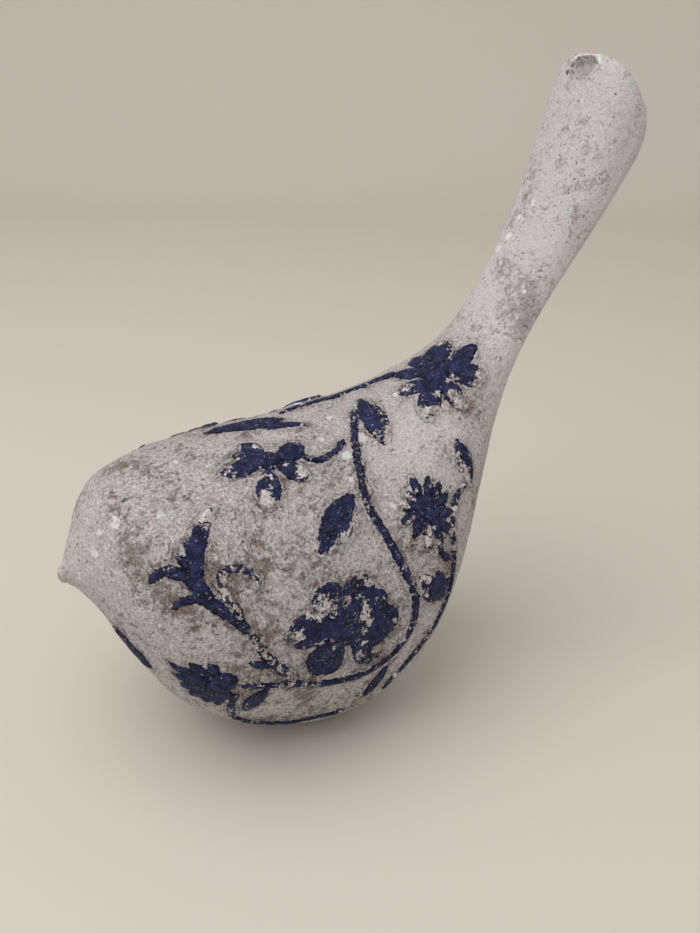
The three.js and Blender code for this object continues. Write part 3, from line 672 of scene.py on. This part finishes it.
motif("tail_flower", (108, 11), [
    petal(323, 14, 8.1, rub=0.3), petal(20, 16, 7.0, rub=0.1), petal(57, 18, 7.0, rub=0.5),
    petal(101, 13.2, 5.5, rub=0.8), petal(147, 13.6, 6.2, rub=0.6), petal(187, 11, 4.5, rub=0.5),
    petal(236, 10, 5, rub=0.3), petal(283, 10.8, 5.5, rub=0.4), boss(3.8),
], bare=[
    (-5.1, -1.5, 1.1), (-7.4, -1.5, 1.1), (-9.5, -1.5, 0.8), (-8.1, 7.2, 1.2), (-10.4, 6.2, 1.1),
    (-4.7, 5.1, 0.9), (-2.0, 7.5, 1.1), (-2.1, 9.5, 1.3), (-1.8, 11.7, 1.5), (8.7, 13.6, 1.3),
    (6.6, 14.0, 1.3), (0.9, 5.5, 1.0), (7.8, -0.5, 0.7), (6.0, -0.3, 0.7), (10.4, -7.4, 1.0),
])
motif("back_vine", (80, -10), [
    stem([(59, -8.5), (67, -10.5), (77, -10), (85, -11), (93.5, -10.5), (99, -7.6)], 1.6, 2.3, rub=0.4),
])
motif("back_leaf", (49, -7), [
    blade(polar(20, 9), polar(194, 11), 7.5, sway=0.4, vein=0.25),
    blade((-1, 2.5), (12.8, 8.4), 2.6, rub=0.8),
])
motif("breast_leaf", (11, 140), [blade(polar(0, 8), polar(180, 8), 7, vein=0.25, rub=0.6)])

FLANK_VINE = [
    (71, 28), (69.6, 38), (69.4, 46), (70.8, 53), (75.7, 68.5), (80.1, 83), (80.6, 90), (79, 96.5),
    (74, 102), (67, 105.3), (57, 105.5), (46, 104.7), (34.5, 107.3),
]
# What both flanks share: name, place as (along the bird, angle round it), shapes and bare spots.
LOWER_MOTIFS = [
    ("fan_flower", (28.5, 107.7), FAN_FLOWER),
    ("side_leaf", (59.2, 49.9), [
        blade(polar(322, 9.2), polar(137, 8.6), 8.8, sway=0.2, vein=0.25, rub=0.1, side_rub=-0.9)]),
    ("rose", (60.2, 84.2), ROSE, ROSE_BARE),
    ("daisy", (86, 56.6), DAISY, DAISY_BARE),
    ("rear_vine", (98, 84), [
        stem([(103.6, 66), (99.5, 64.3), (96.2, 66.5), (94.7, 72), (95, 80), (95.2, 90), (93.5, 98),
              (89, 104), (85, 108), (81, 111.5), (78, 116), (75.5, 121)], 1.5, VINE_WIDTH, rub=0.5)]),
    ("rear_leaf", (105.4, 60), [blade(polar(299, 6.6), polar(127, 5.6), 5.6, rub=0.3, side_rub=0.9)]),
    ("bud", (87, 86.3), BUD, BUD_BARE),
    ("sprig_stem", (38, 96.4), [
        stem([(47, 102), (41, 95), (38, 90.5), (36, 86), (35, 84.2)], 2.2, 1.5, rub=0.5),
        blade((3, 0), (-3.4, -0.8), 2.4, rub=0.8)]),
    ("acanthus", (23.6, 65.8), ACANTHUS),
    ("tendril", (32, 66), [
        stem([(32.6, 77.6), (31.3, 74.6), (29.7, 70.5), (29, 65), (29.3, 61), (30.8, 59.3), (33, 59.3),
              (35.2, 61), (36.5, 63), (36.5, 66)], 2.4, 1.4, rub=0.8)]),
    ("low_leaf", (38, 113.8), [blade(polar(296, 5.4), polar(75, 7), 4.6, sway=0.8, rub=0.3)]),
    ("low_vine", (37, 124), [
        stem([(33.8, 112.5), (34.3, 122), (36.3, 131), (40.5, 135.5), (46, 135.5), (52.5, 132.8),
              (57, 129.5), (66, 127)], TWIG_WIDTH, VINE_WIDTH, rub=0.3)]),
    ("corner_leaf", (72, 114), [blade(polar(300, 6.8), polar(124, 6.3), 3.6, rub=0.6, vein=0.3)]),
]
motif("left_main_vine", (70, 60), [stem([(78, 6), (74, 17)] + FLANK_VINE, VINE_WIDTH, rub=0.35)])
motif("left_top_leaf", (80, 14.5), [
    blade((2.9, -9.4), (-0.6, 8.3), 7.4, sway=-0.3, vein=0.2, rub=0.5, side_rub=-0.7)])
motif("left_star_flower", (46, 19.3), STAR_FLOWER, STAR_BARE)
motif("left_star_twig", (62, 24), [
    stem([(55.5, 22), (59, 25), (62, 25.5), (66, 23.5), (69.5, 19.8)], 1.2, TWIG_WIDTH, rub=0.35)])
motif("right_main_vine", (70, 60), [stem([(77, 18)] + FLANK_VINE, VINE_WIDTH, rub=0.35)], mirrored=True)
motif("right_star_flower", (45, 35), STAR_FLOWER, STAR_BARE, mirrored=True)
motif("right_star_twig", (62, 36), [
    stem([(54.8, 37), (59, 39.5), (63, 38.5), (67.3, 34)], 1.2, TWIG_WIDTH, rub=0.5)], mirrored=True)
for name, *drawn in LOWER_MOTIFS:
    motif("left_" + name, *drawn)
    motif("right_" + name, *drawn, mirrored=True)

# The casting: a hollow shell of resin and stone dust, poured in a soft mould that kept every pit of
# its model. The skin swells towards the pattern, the tail's end is chipped and the foot ground flat.
CASTING_RINGS = 300
CASTING_SIDES = 300
FOOT_HEIGHT = 1.5
MOUND = 0.5
MOUND_REACH = 2.8
LUMPS = 1.1
CREASE_ANGLE = 98
CREASE_HEIGHT = 0.5
CREASE_REACH = 9
CREASE_START = 126
CREASE_GROWTH = 40
CALM_TAIL = 118
CALM_TAIL_GROWTH = 30
CALM_HEAD = 20
CALM_HEAD_GROWTH = 22
CALM_HEAD_MOST = 0.55
CHIP_PLACE = (218.1, 0.7)
CHIP_WIDTH = 4.2
CHIP_HEIGHT = 2.9
CHIP_DEPTH = 1.4
CHIP_RIM = 0.5
CHIP_CRUMBS = 1.6
CHIP_FAR = 9
BUBBLE_PLACE = (216.8, -14.6)
BUBBLE_RADIUS = 0.8
WASH_AND_LIGHT_PATCHES = [
    # along the bird, angle round it, radius, and how much paler the stone is, or how much browner where
    # negative: partly the wash's own unevenness, partly painted light and shade
    (26, 24, 20, 0.7), (12.5, 7.4, 4, -1.3), (12.7, 48, 4, -0.8), (21.3, 0, 4, -1.1),
    (12.7, 74, 5, -0.8), (40, 40, 17, -0.5), (36, 50, 8, -0.6), (29.5, 59, 7, -0.4), (47, 62, 6, -0.7),
    (62.5, 58, 5, -0.8), (75.7, 80, 4, -1.0), (53, 115, 15, -0.8), (36, 84, 9, -0.5),
    (100, 36, 16, 1.9), (78, 32, 14, 1.3), (2, 76, 6, 0.5), (114, 46, 4.5, -2.2),
    (98.5, 46, 3.5, -2.0), (78, 65, 3.5, -1.4), (160, 66, 5, -1.5), (155, 32, 3.5, -1.3),
    (164, -6, 4, -1.9), (184, -17, 3.5, -2.0), (205, 1, 1.8, -1.8), (144, 44, 6, -0.9),
    (42, 312, 15, -0.5), (84, 322, 16, 0.8), (55, 240, 15, -0.4), (150, 310, 7, -1.5),
    (20, 290, 8, -0.9),
]
SCABS = [
    # small wrinkled blisters across the tail: along the bird, angle round it, radius
    (192.7, 30.6, 1.2), (193.5, 38, 0.9), (195, 46, 1.1), (196.6, 57, 1.5), (198.6, 67, 1.0),
    (200.6, 79, 2.0), (197.8, 6.8, 1.6), (185.4, 37.7, 0.8), (213.5, 113, 1.1), (208, 20, 1.2),
    (203, 34, 1.4),
]
FLAKES = [
    # along the bird, angle round it, radius
    (74.9, 20.9, 1.7), (68.1, 27, 1.3), (66.8, 36.5, 0.9), (70.6, 4.6, 0.9), (63.7, 16, 0.9),
    (92.2, 6.5, 0.8), (76.5, 50.3, 0.9), (12.2, 28.8, 1.5), (8.9, 29.1, 1.0), (6.6, 47.5, 1.3),
    (20.3, 32.2, 1.2), (5.3, 62.1, 0.8), (11.2, 8, 0.8), (27.7, 38.3, 0.9), (18, 12.6, 0.6),
    (32.8, 12.6, 0.7), (27.4, 5.6, 0.8), (171.1, -29.6, 1.1), (175.5, -18.9, 1.1), (186.9, -2.1, 0.9),
    (163, 49, 0.7), (166.1, -8.5, 0.8), (182, -14, 0.9), (70.2, 338, 1.3), (58, 318, 1.0),
    (33, 305, 1.1), (90, 312, 0.9), (18, 300, 1.2), (104, 300, 0.8),
]

# The rings crowd together where the beak and the tail's end round off.
ring_places = np.concatenate([
    -BEAK_ROUNDING * np.cos(np.linspace(0.45, np.pi / 2, 5))[:-1],
    np.linspace(0, LENGTH, CASTING_RINGS),
    LENGTH + TAIL_ROUNDING * np.sin(np.linspace(0, np.pi / 2 - 0.3, 16))[1:],
    LENGTH + TAIL_ROUNDING * (1 - 0.045 * np.linspace(1, 0, 12)[1:-1] ** 2),
])
ring_angles = np.linspace(0, 360, CASTING_SIDES, endpoint=False)
skin_rings, way_out, _, _ = skin_frame(ring_places[:, None], ring_angles[None, :])
crease_share = np.clip((ring_places - CREASE_START) / CREASE_GROWTH, 0, 1)
off_crease = np.abs(np.minimum(ring_angles, 360 - ring_angles) - CREASE_ANGLE)
crease = CREASE_HEIGHT * crease_share[:, None] * np.exp(-off_crease[None, :] / CREASE_REACH)
chip_centre = on_skin(*CHIP_PLACE)
chip_way = skin_rings - chip_centre
from_chip = np.linalg.norm(chip_way * (1 / CHIP_HEIGHT, 1 / CHIP_WIDTH, 1 / CHIP_HEIGHT), axis=-1)
chip_wave = from_chip + 0.09 * np.sin(3 * np.arctan2(chip_way[..., 1], chip_way[..., 2]) + 1)
chip_rim = CHIP_RIM * np.exp(-((chip_wave - 1.05) / 0.12) ** 2)
chip_floor = CHIP_DEPTH * np.clip((1 - chip_wave) / 0.25, 0, 1)
skin_rings = skin_rings + way_out * (crease + chip_rim - chip_floor)[..., None]
points, faces = loft(skin_rings, on_skin(-BEAK_ROUNDING, 0.0), on_skin(LENGTH + TAIL_ROUNDING, 0.0))
casting = mesh_object("casting", points, faces)
calm_tail = np.clip((ring_places - CALM_TAIL) / CALM_TAIL_GROWTH, 0, 1)
calm_head = np.clip((CALM_HEAD - ring_places) / CALM_HEAD_GROWTH, 0, 1) * CALM_HEAD_MOST
calm = np.maximum(calm_tail, calm_head)
mark(casting.data, "calm", np.concatenate([[0.6], np.repeat(calm, CASTING_SIDES), [1.0]]))


def away_from(along, degrees):
    """How far each point of the casting lies from a place on the skin."""
    return np.linalg.norm(points - on_skin(along, degrees), axis=1)


# Paler and browner patches across the skin: partly the wash's own unevenness, partly painted light and
# shade.
wash_and_light = np.zeros(len(points))
for along, degrees, radius, amount in WASH_AND_LIGHT_PATCHES:
    wash_and_light += amount * np.exp(-(away_from(along, degrees) / radius) ** 2)
mark(casting.data, "wash_and_light", wash_and_light)
scab = np.zeros(len(points))
for along, degrees, radius in SCABS:
    scab = np.maximum(scab, np.exp(-(away_from(along, degrees) / radius) ** 2))
mark(casting.data, "scab", scab)
mark(casting.data, "chip", np.concatenate([[CHIP_FAR], chip_wave.ravel(), [CHIP_FAR]]))
above_chip = np.clip(chip_way[..., 2] / 1.5, 0, 1)
crumbled = CHIP_CRUMBS * np.exp(-((chip_wave - 1.25) / 0.16) ** 2) * above_chip
flake = np.concatenate([[0], crumbled.ravel(), [0]])
for along, degrees, radius in FLAKES:
    flake = np.maximum(flake, np.clip(2 - away_from(along, degrees) / radius, 0, 2))
# The burst bubble gets no dent in the skin: its hole is painted on as a dark spot of shade.
bubble_shade = away_from(*BUBBLE_PLACE) / BUBBLE_RADIUS
mark(casting.data, "bubble_shade", bubble_shade)
mark(casting.data, "flake", flake)

pattern_collection = bpy.data.collections.new("pattern")
for piece in pattern_pieces:
    pattern_collection.objects.link(piece)

surface = bpy.data.node_groups.new("cast_surface", "GeometryNodeTree")
wire = surface.links.new
surface.interface.new_socket(name="Geometry", in_out="INPUT", socket_type="NodeSocketGeometry")
surface_inputs = []
surface_sizes = {"Mound": MOUND, "Mound reach": MOUND_REACH, "Lumps": LUMPS, "Foot": FOOT_HEIGHT}
for name, value in surface_sizes.items():
    socket = surface.interface.new_socket(name=name, in_out="INPUT", socket_type="NodeSocketFloat")
    socket.default_value = value * MM
    surface_inputs.append((socket, value * MM))
socket = surface.interface.new_socket(
    name="Pattern", in_out="INPUT", socket_type="NodeSocketCollection")
surface_inputs.append((socket, pattern_collection))
surface.interface.new_socket(name="Geometry", in_out="OUTPUT", socket_type="NodeSocketGeometry")


def geo(kind, **settings):
    node = surface.nodes.new(kind)
    for key, value in settings.items():
        setattr(node, key, value)
    return node


def geo_noise(scale, detail):
    node = geo("ShaderNodeTexNoise")
    node.inputs["Scale"].default_value = scale
    node.inputs["Detail"].default_value = detail
    return minus(surface, node.outputs["Fac"], 0.5)


def field(name):
    node = geo("GeometryNodeInputNamedAttribute", data_type="FLOAT")
    node.inputs["Name"].default_value = name
    return node.outputs["Attribute"]


def store(name, geometry, value):
    node = geo("GeometryNodeStoreNamedAttribute", data_type="FLOAT", domain="POINT")
    node.inputs["Name"].default_value = name
    wire(geometry, node.inputs["Geometry"])
    wire(value, node.inputs["Value"])
    return node.outputs["Geometry"]


# Each point keeps its distance to the pattern, and how rubbed the pattern is there.
given = geo("NodeGroupInput")
collection_info = geo("GeometryNodeCollectionInfo")
wire(given.outputs["Pattern"], collection_info.inputs["Collection"])
realize = geo("GeometryNodeRealizeInstances")
wire(collection_info.outputs[0], realize.inputs[0])
nearest = geo("GeometryNodeProximity", target_element="FACES")
wire(realize.outputs[0], nearest.inputs["Geometry"])
measured = store("from_pattern", given.outputs["Geometry"], nearest.outputs["Distance"])
nearest_paint = geo("GeometryNodeSampleNearestSurface", data_type="FLOAT")
wire(realize.outputs[0], nearest_paint.inputs["Mesh"])
wire(field("rubbed"), nearest_paint.inputs["Value"])
measured = store("rubbed", measured, nearest_paint.outputs["Value"])

# The skin swells towards the pattern and is lumpy everywhere, less so where it is calm.
fall = geo("ShaderNodeMapRange", interpolation_type="SMOOTHERSTEP")
wire(field("from_pattern"), fall.inputs["Value"])
wire(given.outputs["Mound reach"], fall.inputs["From Max"])
wire(given.outputs["Mound"], fall.inputs["To Min"])
fall.inputs["From Min"].default_value = 0.3 * MM
fall.inputs["To Max"].default_value = 0
roughness = minus(surface, 1.0, times(surface, field("calm"), 0.72))
lumps = plus(surface, geo_noise(210, 4), times(surface, geo_noise(620, 3), 0.55))
lumps = times(surface, times(surface, lumps, given.outputs["Lumps"]), roughness)
raised = plus(surface, lumps, fall.outputs["Result"])
normal = geo("GeometryNodeInputNormal")
push = geo("ShaderNodeVectorMath", operation="SCALE")
wire(normal.outputs[0], push.inputs[0])
wire(raised, push.inputs["Scale"])
moved = geo("GeometryNodeSetPosition")
wire(measured, moved.inputs["Geometry"])
wire(push.outputs[0], moved.inputs["Offset"])
lumpy = store("lump", moved.outputs[0], lumps)

# The foot is cut level, to sit on the felt.
position = geo("GeometryNodeInputPosition")
apart = geo("ShaderNodeSeparateXYZ")
wire(position.outputs[0], apart.inputs[0])
joined = geo("ShaderNodeCombineXYZ")
wire(apart.outputs["X"], joined.inputs["X"])
wire(apart.outputs["Y"], joined.inputs["Y"])
wire(sum_up(surface, "MAXIMUM", apart.outputs["Z"], given.outputs["Foot"]), joined.inputs["Z"])
cut = geo("GeometryNodeSetPosition")
wire(lumpy, cut.inputs["Geometry"])
wire(joined.outputs[0], cut.inputs["Position"])
smooth_shade = geo("GeometryNodeSetShadeSmooth")
wire(cut.outputs[0], smooth_shade.inputs["Geometry"])
realized = geo("GeometryNodeRealizeInstances")
wire(smooth_shade.outputs[0], realized.inputs[0])
paint_on = geo("GeometryNodeSetMaterial")
wire(realized.outputs[0], paint_on.inputs["Geometry"])
finished = geo("NodeGroupOutput")
wire(paint_on.outputs[0], finished.inputs[0])

FLAKE_WHITE = (0.92, 0.9, 0.905)


def stone_finish():
    """The stone skin, calmer at the beak and the tail, with the brown wash pooled by the pattern and
    deepened there with painted shade.
    """
    material, tree, shader = new_material("cast_stone")
    calm_value = attribute(tree, "calm")
    distance = attribute(tree, "from_pattern")
    place = object_place(tree)
    ragged = noise(tree, place, 800, 5, 0.7)
    # Brown wash deepened with painted shade lies beside the pattern, in a thin dark line at its foot,
    # and in the low places.
    groove_shade_and_wash = ease(tree, distance, 0.0034, 0.0010, 0.0, 0.34)
    groove_shade_and_wash = times(tree, groove_shade_and_wash, ease(tree, ragged, 0.35, 0.65))
    wander = noise(tree, place, 330, 4, 0.6)
    foot_shade_and_wash_line = plus(tree, distance, times(tree, wander, 0.0034))
    foot_shade_and_wash_line = ease(tree, off(tree, foot_shade_and_wash_line, 0.0026), 0.00030, 0.00006)
    broken = ease(tree, noise(tree, place, 150, 3, 0.6), 0.42, 0.58, 0.0, 0.6)
    foot_shade_and_wash_line = times(tree, foot_shade_and_wash_line, broken)
    # In the low places between the lumps the wash is deepened with painted shade.
    low = ease(tree, attribute(tree, "lump"), 0.00000, -0.00030, 0.0, 0.35)
    wash_and_light = attribute(tree, "wash_and_light")
    pooled_wash_and_shade = plus(tree, groove_shade_and_wash, low)
    colour, height, roughness_value = stone_in(tree, calm_value, pooled_wash_and_shade, wash_and_light)
    colour = blend_colour(tree, foot_shade_and_wash_line, colour, STONE_CRACK_AND_SHADE)
    # Wrinkled blisters, and one burst bubble, whose hole is a dark spot of painted shade, not sunk.
    wrinkle = ease(tree, off(tree, ragged, 0.5), 0.055, 0.02)
    wrinkle = times(tree, ease(tree, attribute(tree, "scab"), 0.1, 0.6), wrinkle)
    colour = blend_colour(tree, times(tree, wrinkle, 0.7), colour, STONE_STAIN_AND_SHADE)
    bubble_shade = plus(tree, attribute(tree, "bubble_shade"), ease(tree, ragged, 0.3, 0.7, -0.3, 0.3))
    colour = blend_colour(tree, ease(tree, bubble_shade, 1.1, 0.9, 0.0, 0.85), colour, STONE_CRACK_AND_SHADE)
    # Paint that ran over the pattern's edge, and specks that the brush threw.
    spill = minus(tree, distance, ease(tree, ragged, 0.35, 0.75, 0.0, 0.0005))
    spill = ease(tree, spill, 0.00026, 0.00014)
    paint, left = paint_in(tree)
    colour = blend_colour(tree, times(tree, spill, left), colour, paint)
    spatter = times(tree, ease(tree, noise(tree, place, 1500, 3, 0.6), 0.595, 0.63),
                    ease(tree, distance, 0.0036, 0.0014))
    spatter = times(tree, spatter, ease(tree, noise(tree, place, 170, 2, 0.5), 0.50, 0.60))
    colour = blend_colour(tree, times(tree, spatter, 0.9), colour, paint)
    # The chip's floor, a dark line of painted shade along its edge, and the white flakes.
    chip = attribute(tree, "chip")
    chip_edge_shade = ease(tree, off(tree, chip, 0.98), 0.08, 0.02)
    chip_edge_shade = times(tree, chip_edge_shade, ease(tree, ragged, 0.42, 0.54, 0.2, 0.8))
    colour = blend_colour(tree, ease(tree, chip, 1.0, 0.8, 0.0, 0.45), colour, STONE_STAIN_AND_SHADE)
    colour = blend_colour(tree, chip_edge_shade, colour, STONE_CRACK_AND_SHADE)
    frayed = times(tree, minus(tree, ragged, 0.5), 2.8)
    flaked = plus(tree, attribute(tree, "flake"), frayed)
    colour = blend_colour(tree, ease(tree, flaked, 0.98, 1.22, 0.0, 0.88), colour, FLAKE_WHITE)
    tree.links.new(colour, shader.inputs["Base Color"])
    tree.links.new(roughness_value, shader.inputs["Roughness"])
    shader.inputs["Specular IOR Level"].default_value = 0.25
    height = minus(tree, height, times(tree, foot_shade_and_wash_line, 0.5))
    bump_into(tree, shader, height, 0.0008, 1.0)
    return material


CAST_STONE = stone_finish()
paint_on.inputs["Material"].default_value = CAST_STONE
modifier = casting.modifiers.new("cast_surface", "NODES")
modifier.node_group = surface
for socket, value in surface_inputs:
    modifier[socket.identifier] = value
finished_casting = casting.evaluated_get(bpy.context.evaluated_depsgraph_get())
finished_mesh = bpy.data.meshes.new_from_object(finished_casting)
casting.modifiers.clear()
casting.data = finished_mesh
bpy.data.collections.remove(pattern_collection)
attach(casting, "root")
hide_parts("bird_casting")

# The plug: a tapered stopper of soft white rubber. It is pressed into the pour hole from below, and
# the felt hides it.
PLUG_DARK = (0.62, 0.60, 0.55)
PLUG_LIGHT = (0.74, 0.72, 0.67)

plug_material, plug_tree, plug_shader = new_material("plug_rubber")
plug_cloud = noise(plug_tree, object_place(plug_tree), 300, 4)
plug_colour = blend_colour(plug_tree, plug_cloud, PLUG_DARK, PLUG_LIGHT)
plug_tree.links.new(plug_colour, plug_shader.inputs["Base Color"])
plug_shader.inputs["Roughness"].default_value = 0.7
bump_into(plug_tree, plug_shader, plug_cloud, 0.0001)
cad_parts["base_plug"].data.materials.clear()
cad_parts["base_plug"].data.materials.append(plug_material)

# The felt pad: an oval cut from pressed grey wool felt. It is glued under the foot, so that the stone
# doesn't scratch a shelf.
FELT_LENGTH = 32
FELT_WIDTH = 27
FELT_THICKNESS = 1.5
FELT_SIDES = 160
FELT_ROUNDING = 0.2
FELT_INSETS = (1.6, 0.6, 0.25, 0.05, 0, 0.05, 0.25, 0.6, 1.6)
FELT_DARK = (0.06, 0.058, 0.055)
FELT_LIGHT = (0.16, 0.155, 0.15)

felt_turn = np.linspace(0, 2 * np.pi, FELT_SIDES, endpoint=False)[None, :]
felt_inset = np.array(FELT_INSETS)[:, None]
felt_level = np.array([0, 0, 0, FELT_ROUNDING, FELT_THICKNESS / 2, FELT_THICKNESS - FELT_ROUNDING]
                      + [FELT_THICKNESS] * 3)[:, None]
felt_rings = np.stack([
    (FELT_LENGTH / 2 - felt_inset) * np.cos(felt_turn),
    (FELT_WIDTH / 2 - felt_inset) * np.sin(felt_turn),
    np.broadcast_to(felt_level, (len(FELT_INSETS), FELT_SIDES)),
], -1)
felt = mesh_object("felt_pad", *loft(felt_rings, (0, 0, 0), (0, 0, FELT_THICKNESS)))
felt.data.polygons.foreach_set("use_smooth", [True] * len(felt.data.polygons))
felt_material, felt_tree, felt_shader = new_material("grey_felt")
fibres = noise(felt_tree, object_place(felt_tree), 1800, 6, 0.75, 1.5)
felt_colour = blend_colour(felt_tree, ease(felt_tree, fibres, 0.3, 0.7), FELT_DARK, FELT_LIGHT)
felt_tree.links.new(felt_colour, felt_shader.inputs["Base Color"])
felt_shader.inputs["Roughness"].default_value = 1.0
felt_shader.inputs["Sheen Weight"].default_value = 0.4
bump_into(felt_tree, felt_shader, fibres, 0.0003)
felt.data.materials.append(felt_material)
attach(felt, "root")
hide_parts("base_felt")

# The stage: one sheet of matte cream paper. It runs level under the bird and curves up behind it,
# square to the camera.
SWEEP_FRONT = -700
SWEEP_BACK = 620
SWEEP_RADIUS = 260
SWEEP_TOP = 1100
SWEEP_WIDTH = 2600
SWEEP_STEPS = 24
SWEEP_CREAM = (0.67, 0.63, 0.56)

sweep_turn = np.linspace(0, np.pi / 2, SWEEP_STEPS)
sweep_profile = [(SWEEP_FRONT, 0.0)]
sweep_profile += [
    (SWEEP_BACK + SWEEP_RADIUS * math.sin(a), SWEEP_RADIUS * (1 - math.cos(a))) for a in sweep_turn]
sweep_profile.append((SWEEP_BACK + SWEEP_RADIUS, SWEEP_TOP))
sweep_points = []
for depth, height in sweep_profile:
    for side in (-SWEEP_WIDTH / 2, SWEEP_WIDTH / 2):
        x = heading_sin * depth + heading_cos * side
        y = heading_cos * depth - heading_sin * side
        sweep_points.append((x, y, height))
sweep_faces = [(2 * i, 2 * i + 1, 2 * i + 3, 2 * i + 2) for i in range(len(sweep_profile) - 1)]
sweep = mesh_object("sweep", sweep_points, sweep_faces)
sweep.data.polygons.foreach_set("use_smooth", [True] * len(sweep.data.polygons))
sweep_material, _, sweep_shader = new_material("cream_paper")
sweep_shader.inputs["Base Color"].default_value = (*SWEEP_CREAM, 1)
sweep_shader.inputs["Roughness"].default_value = 0.75
sweep_shader.inputs["Specular IOR Level"].default_value = 0.2
sweep.data.materials.append(sweep_material)

# The light: one broad soft lamp hangs above the bird's head, to the left of the camera. An even, pale
# room fills the shadows.
LAMP_PLACE = (-320, -50, 740)
LAMP_AIM = (10, 0, 60)
LAMP_SIZE = 0.8
LAMP_POWER = 3.5
LAMP_COLOUR = (1.0, 0.98, 0.965)
ROOM_COLOUR = (1.0, 0.98, 0.955)
ROOM_STRENGTH = 0.61

lamp_data = bpy.data.lights.new("overhead_lamp", "AREA")
lamp_data.shape = "DISK"
lamp_data.size = LAMP_SIZE
lamp_data.energy = LAMP_POWER
lamp_data.color = LAMP_COLOUR
lamp = bpy.data.objects.new("overhead_lamp", lamp_data)
lamp.location = Vector(LAMP_PLACE) * MM
lamp.rotation_euler = (Vector(LAMP_AIM) * MM - lamp.location).to_track_quat("-Z", "Y").to_euler()
bpy.context.collection.objects.link(lamp)
room = bpy.data.worlds.new("room")
room.use_nodes = True
room.node_tree.nodes["Background"].inputs["Color"].default_value = (*ROOM_COLOUR, 1)
room.node_tree.nodes["Background"].inputs["Strength"].default_value = ROOM_STRENGTH
bpy.context.scene.world = room
bpy.context.scene.view_settings.view_transform = "Standard"
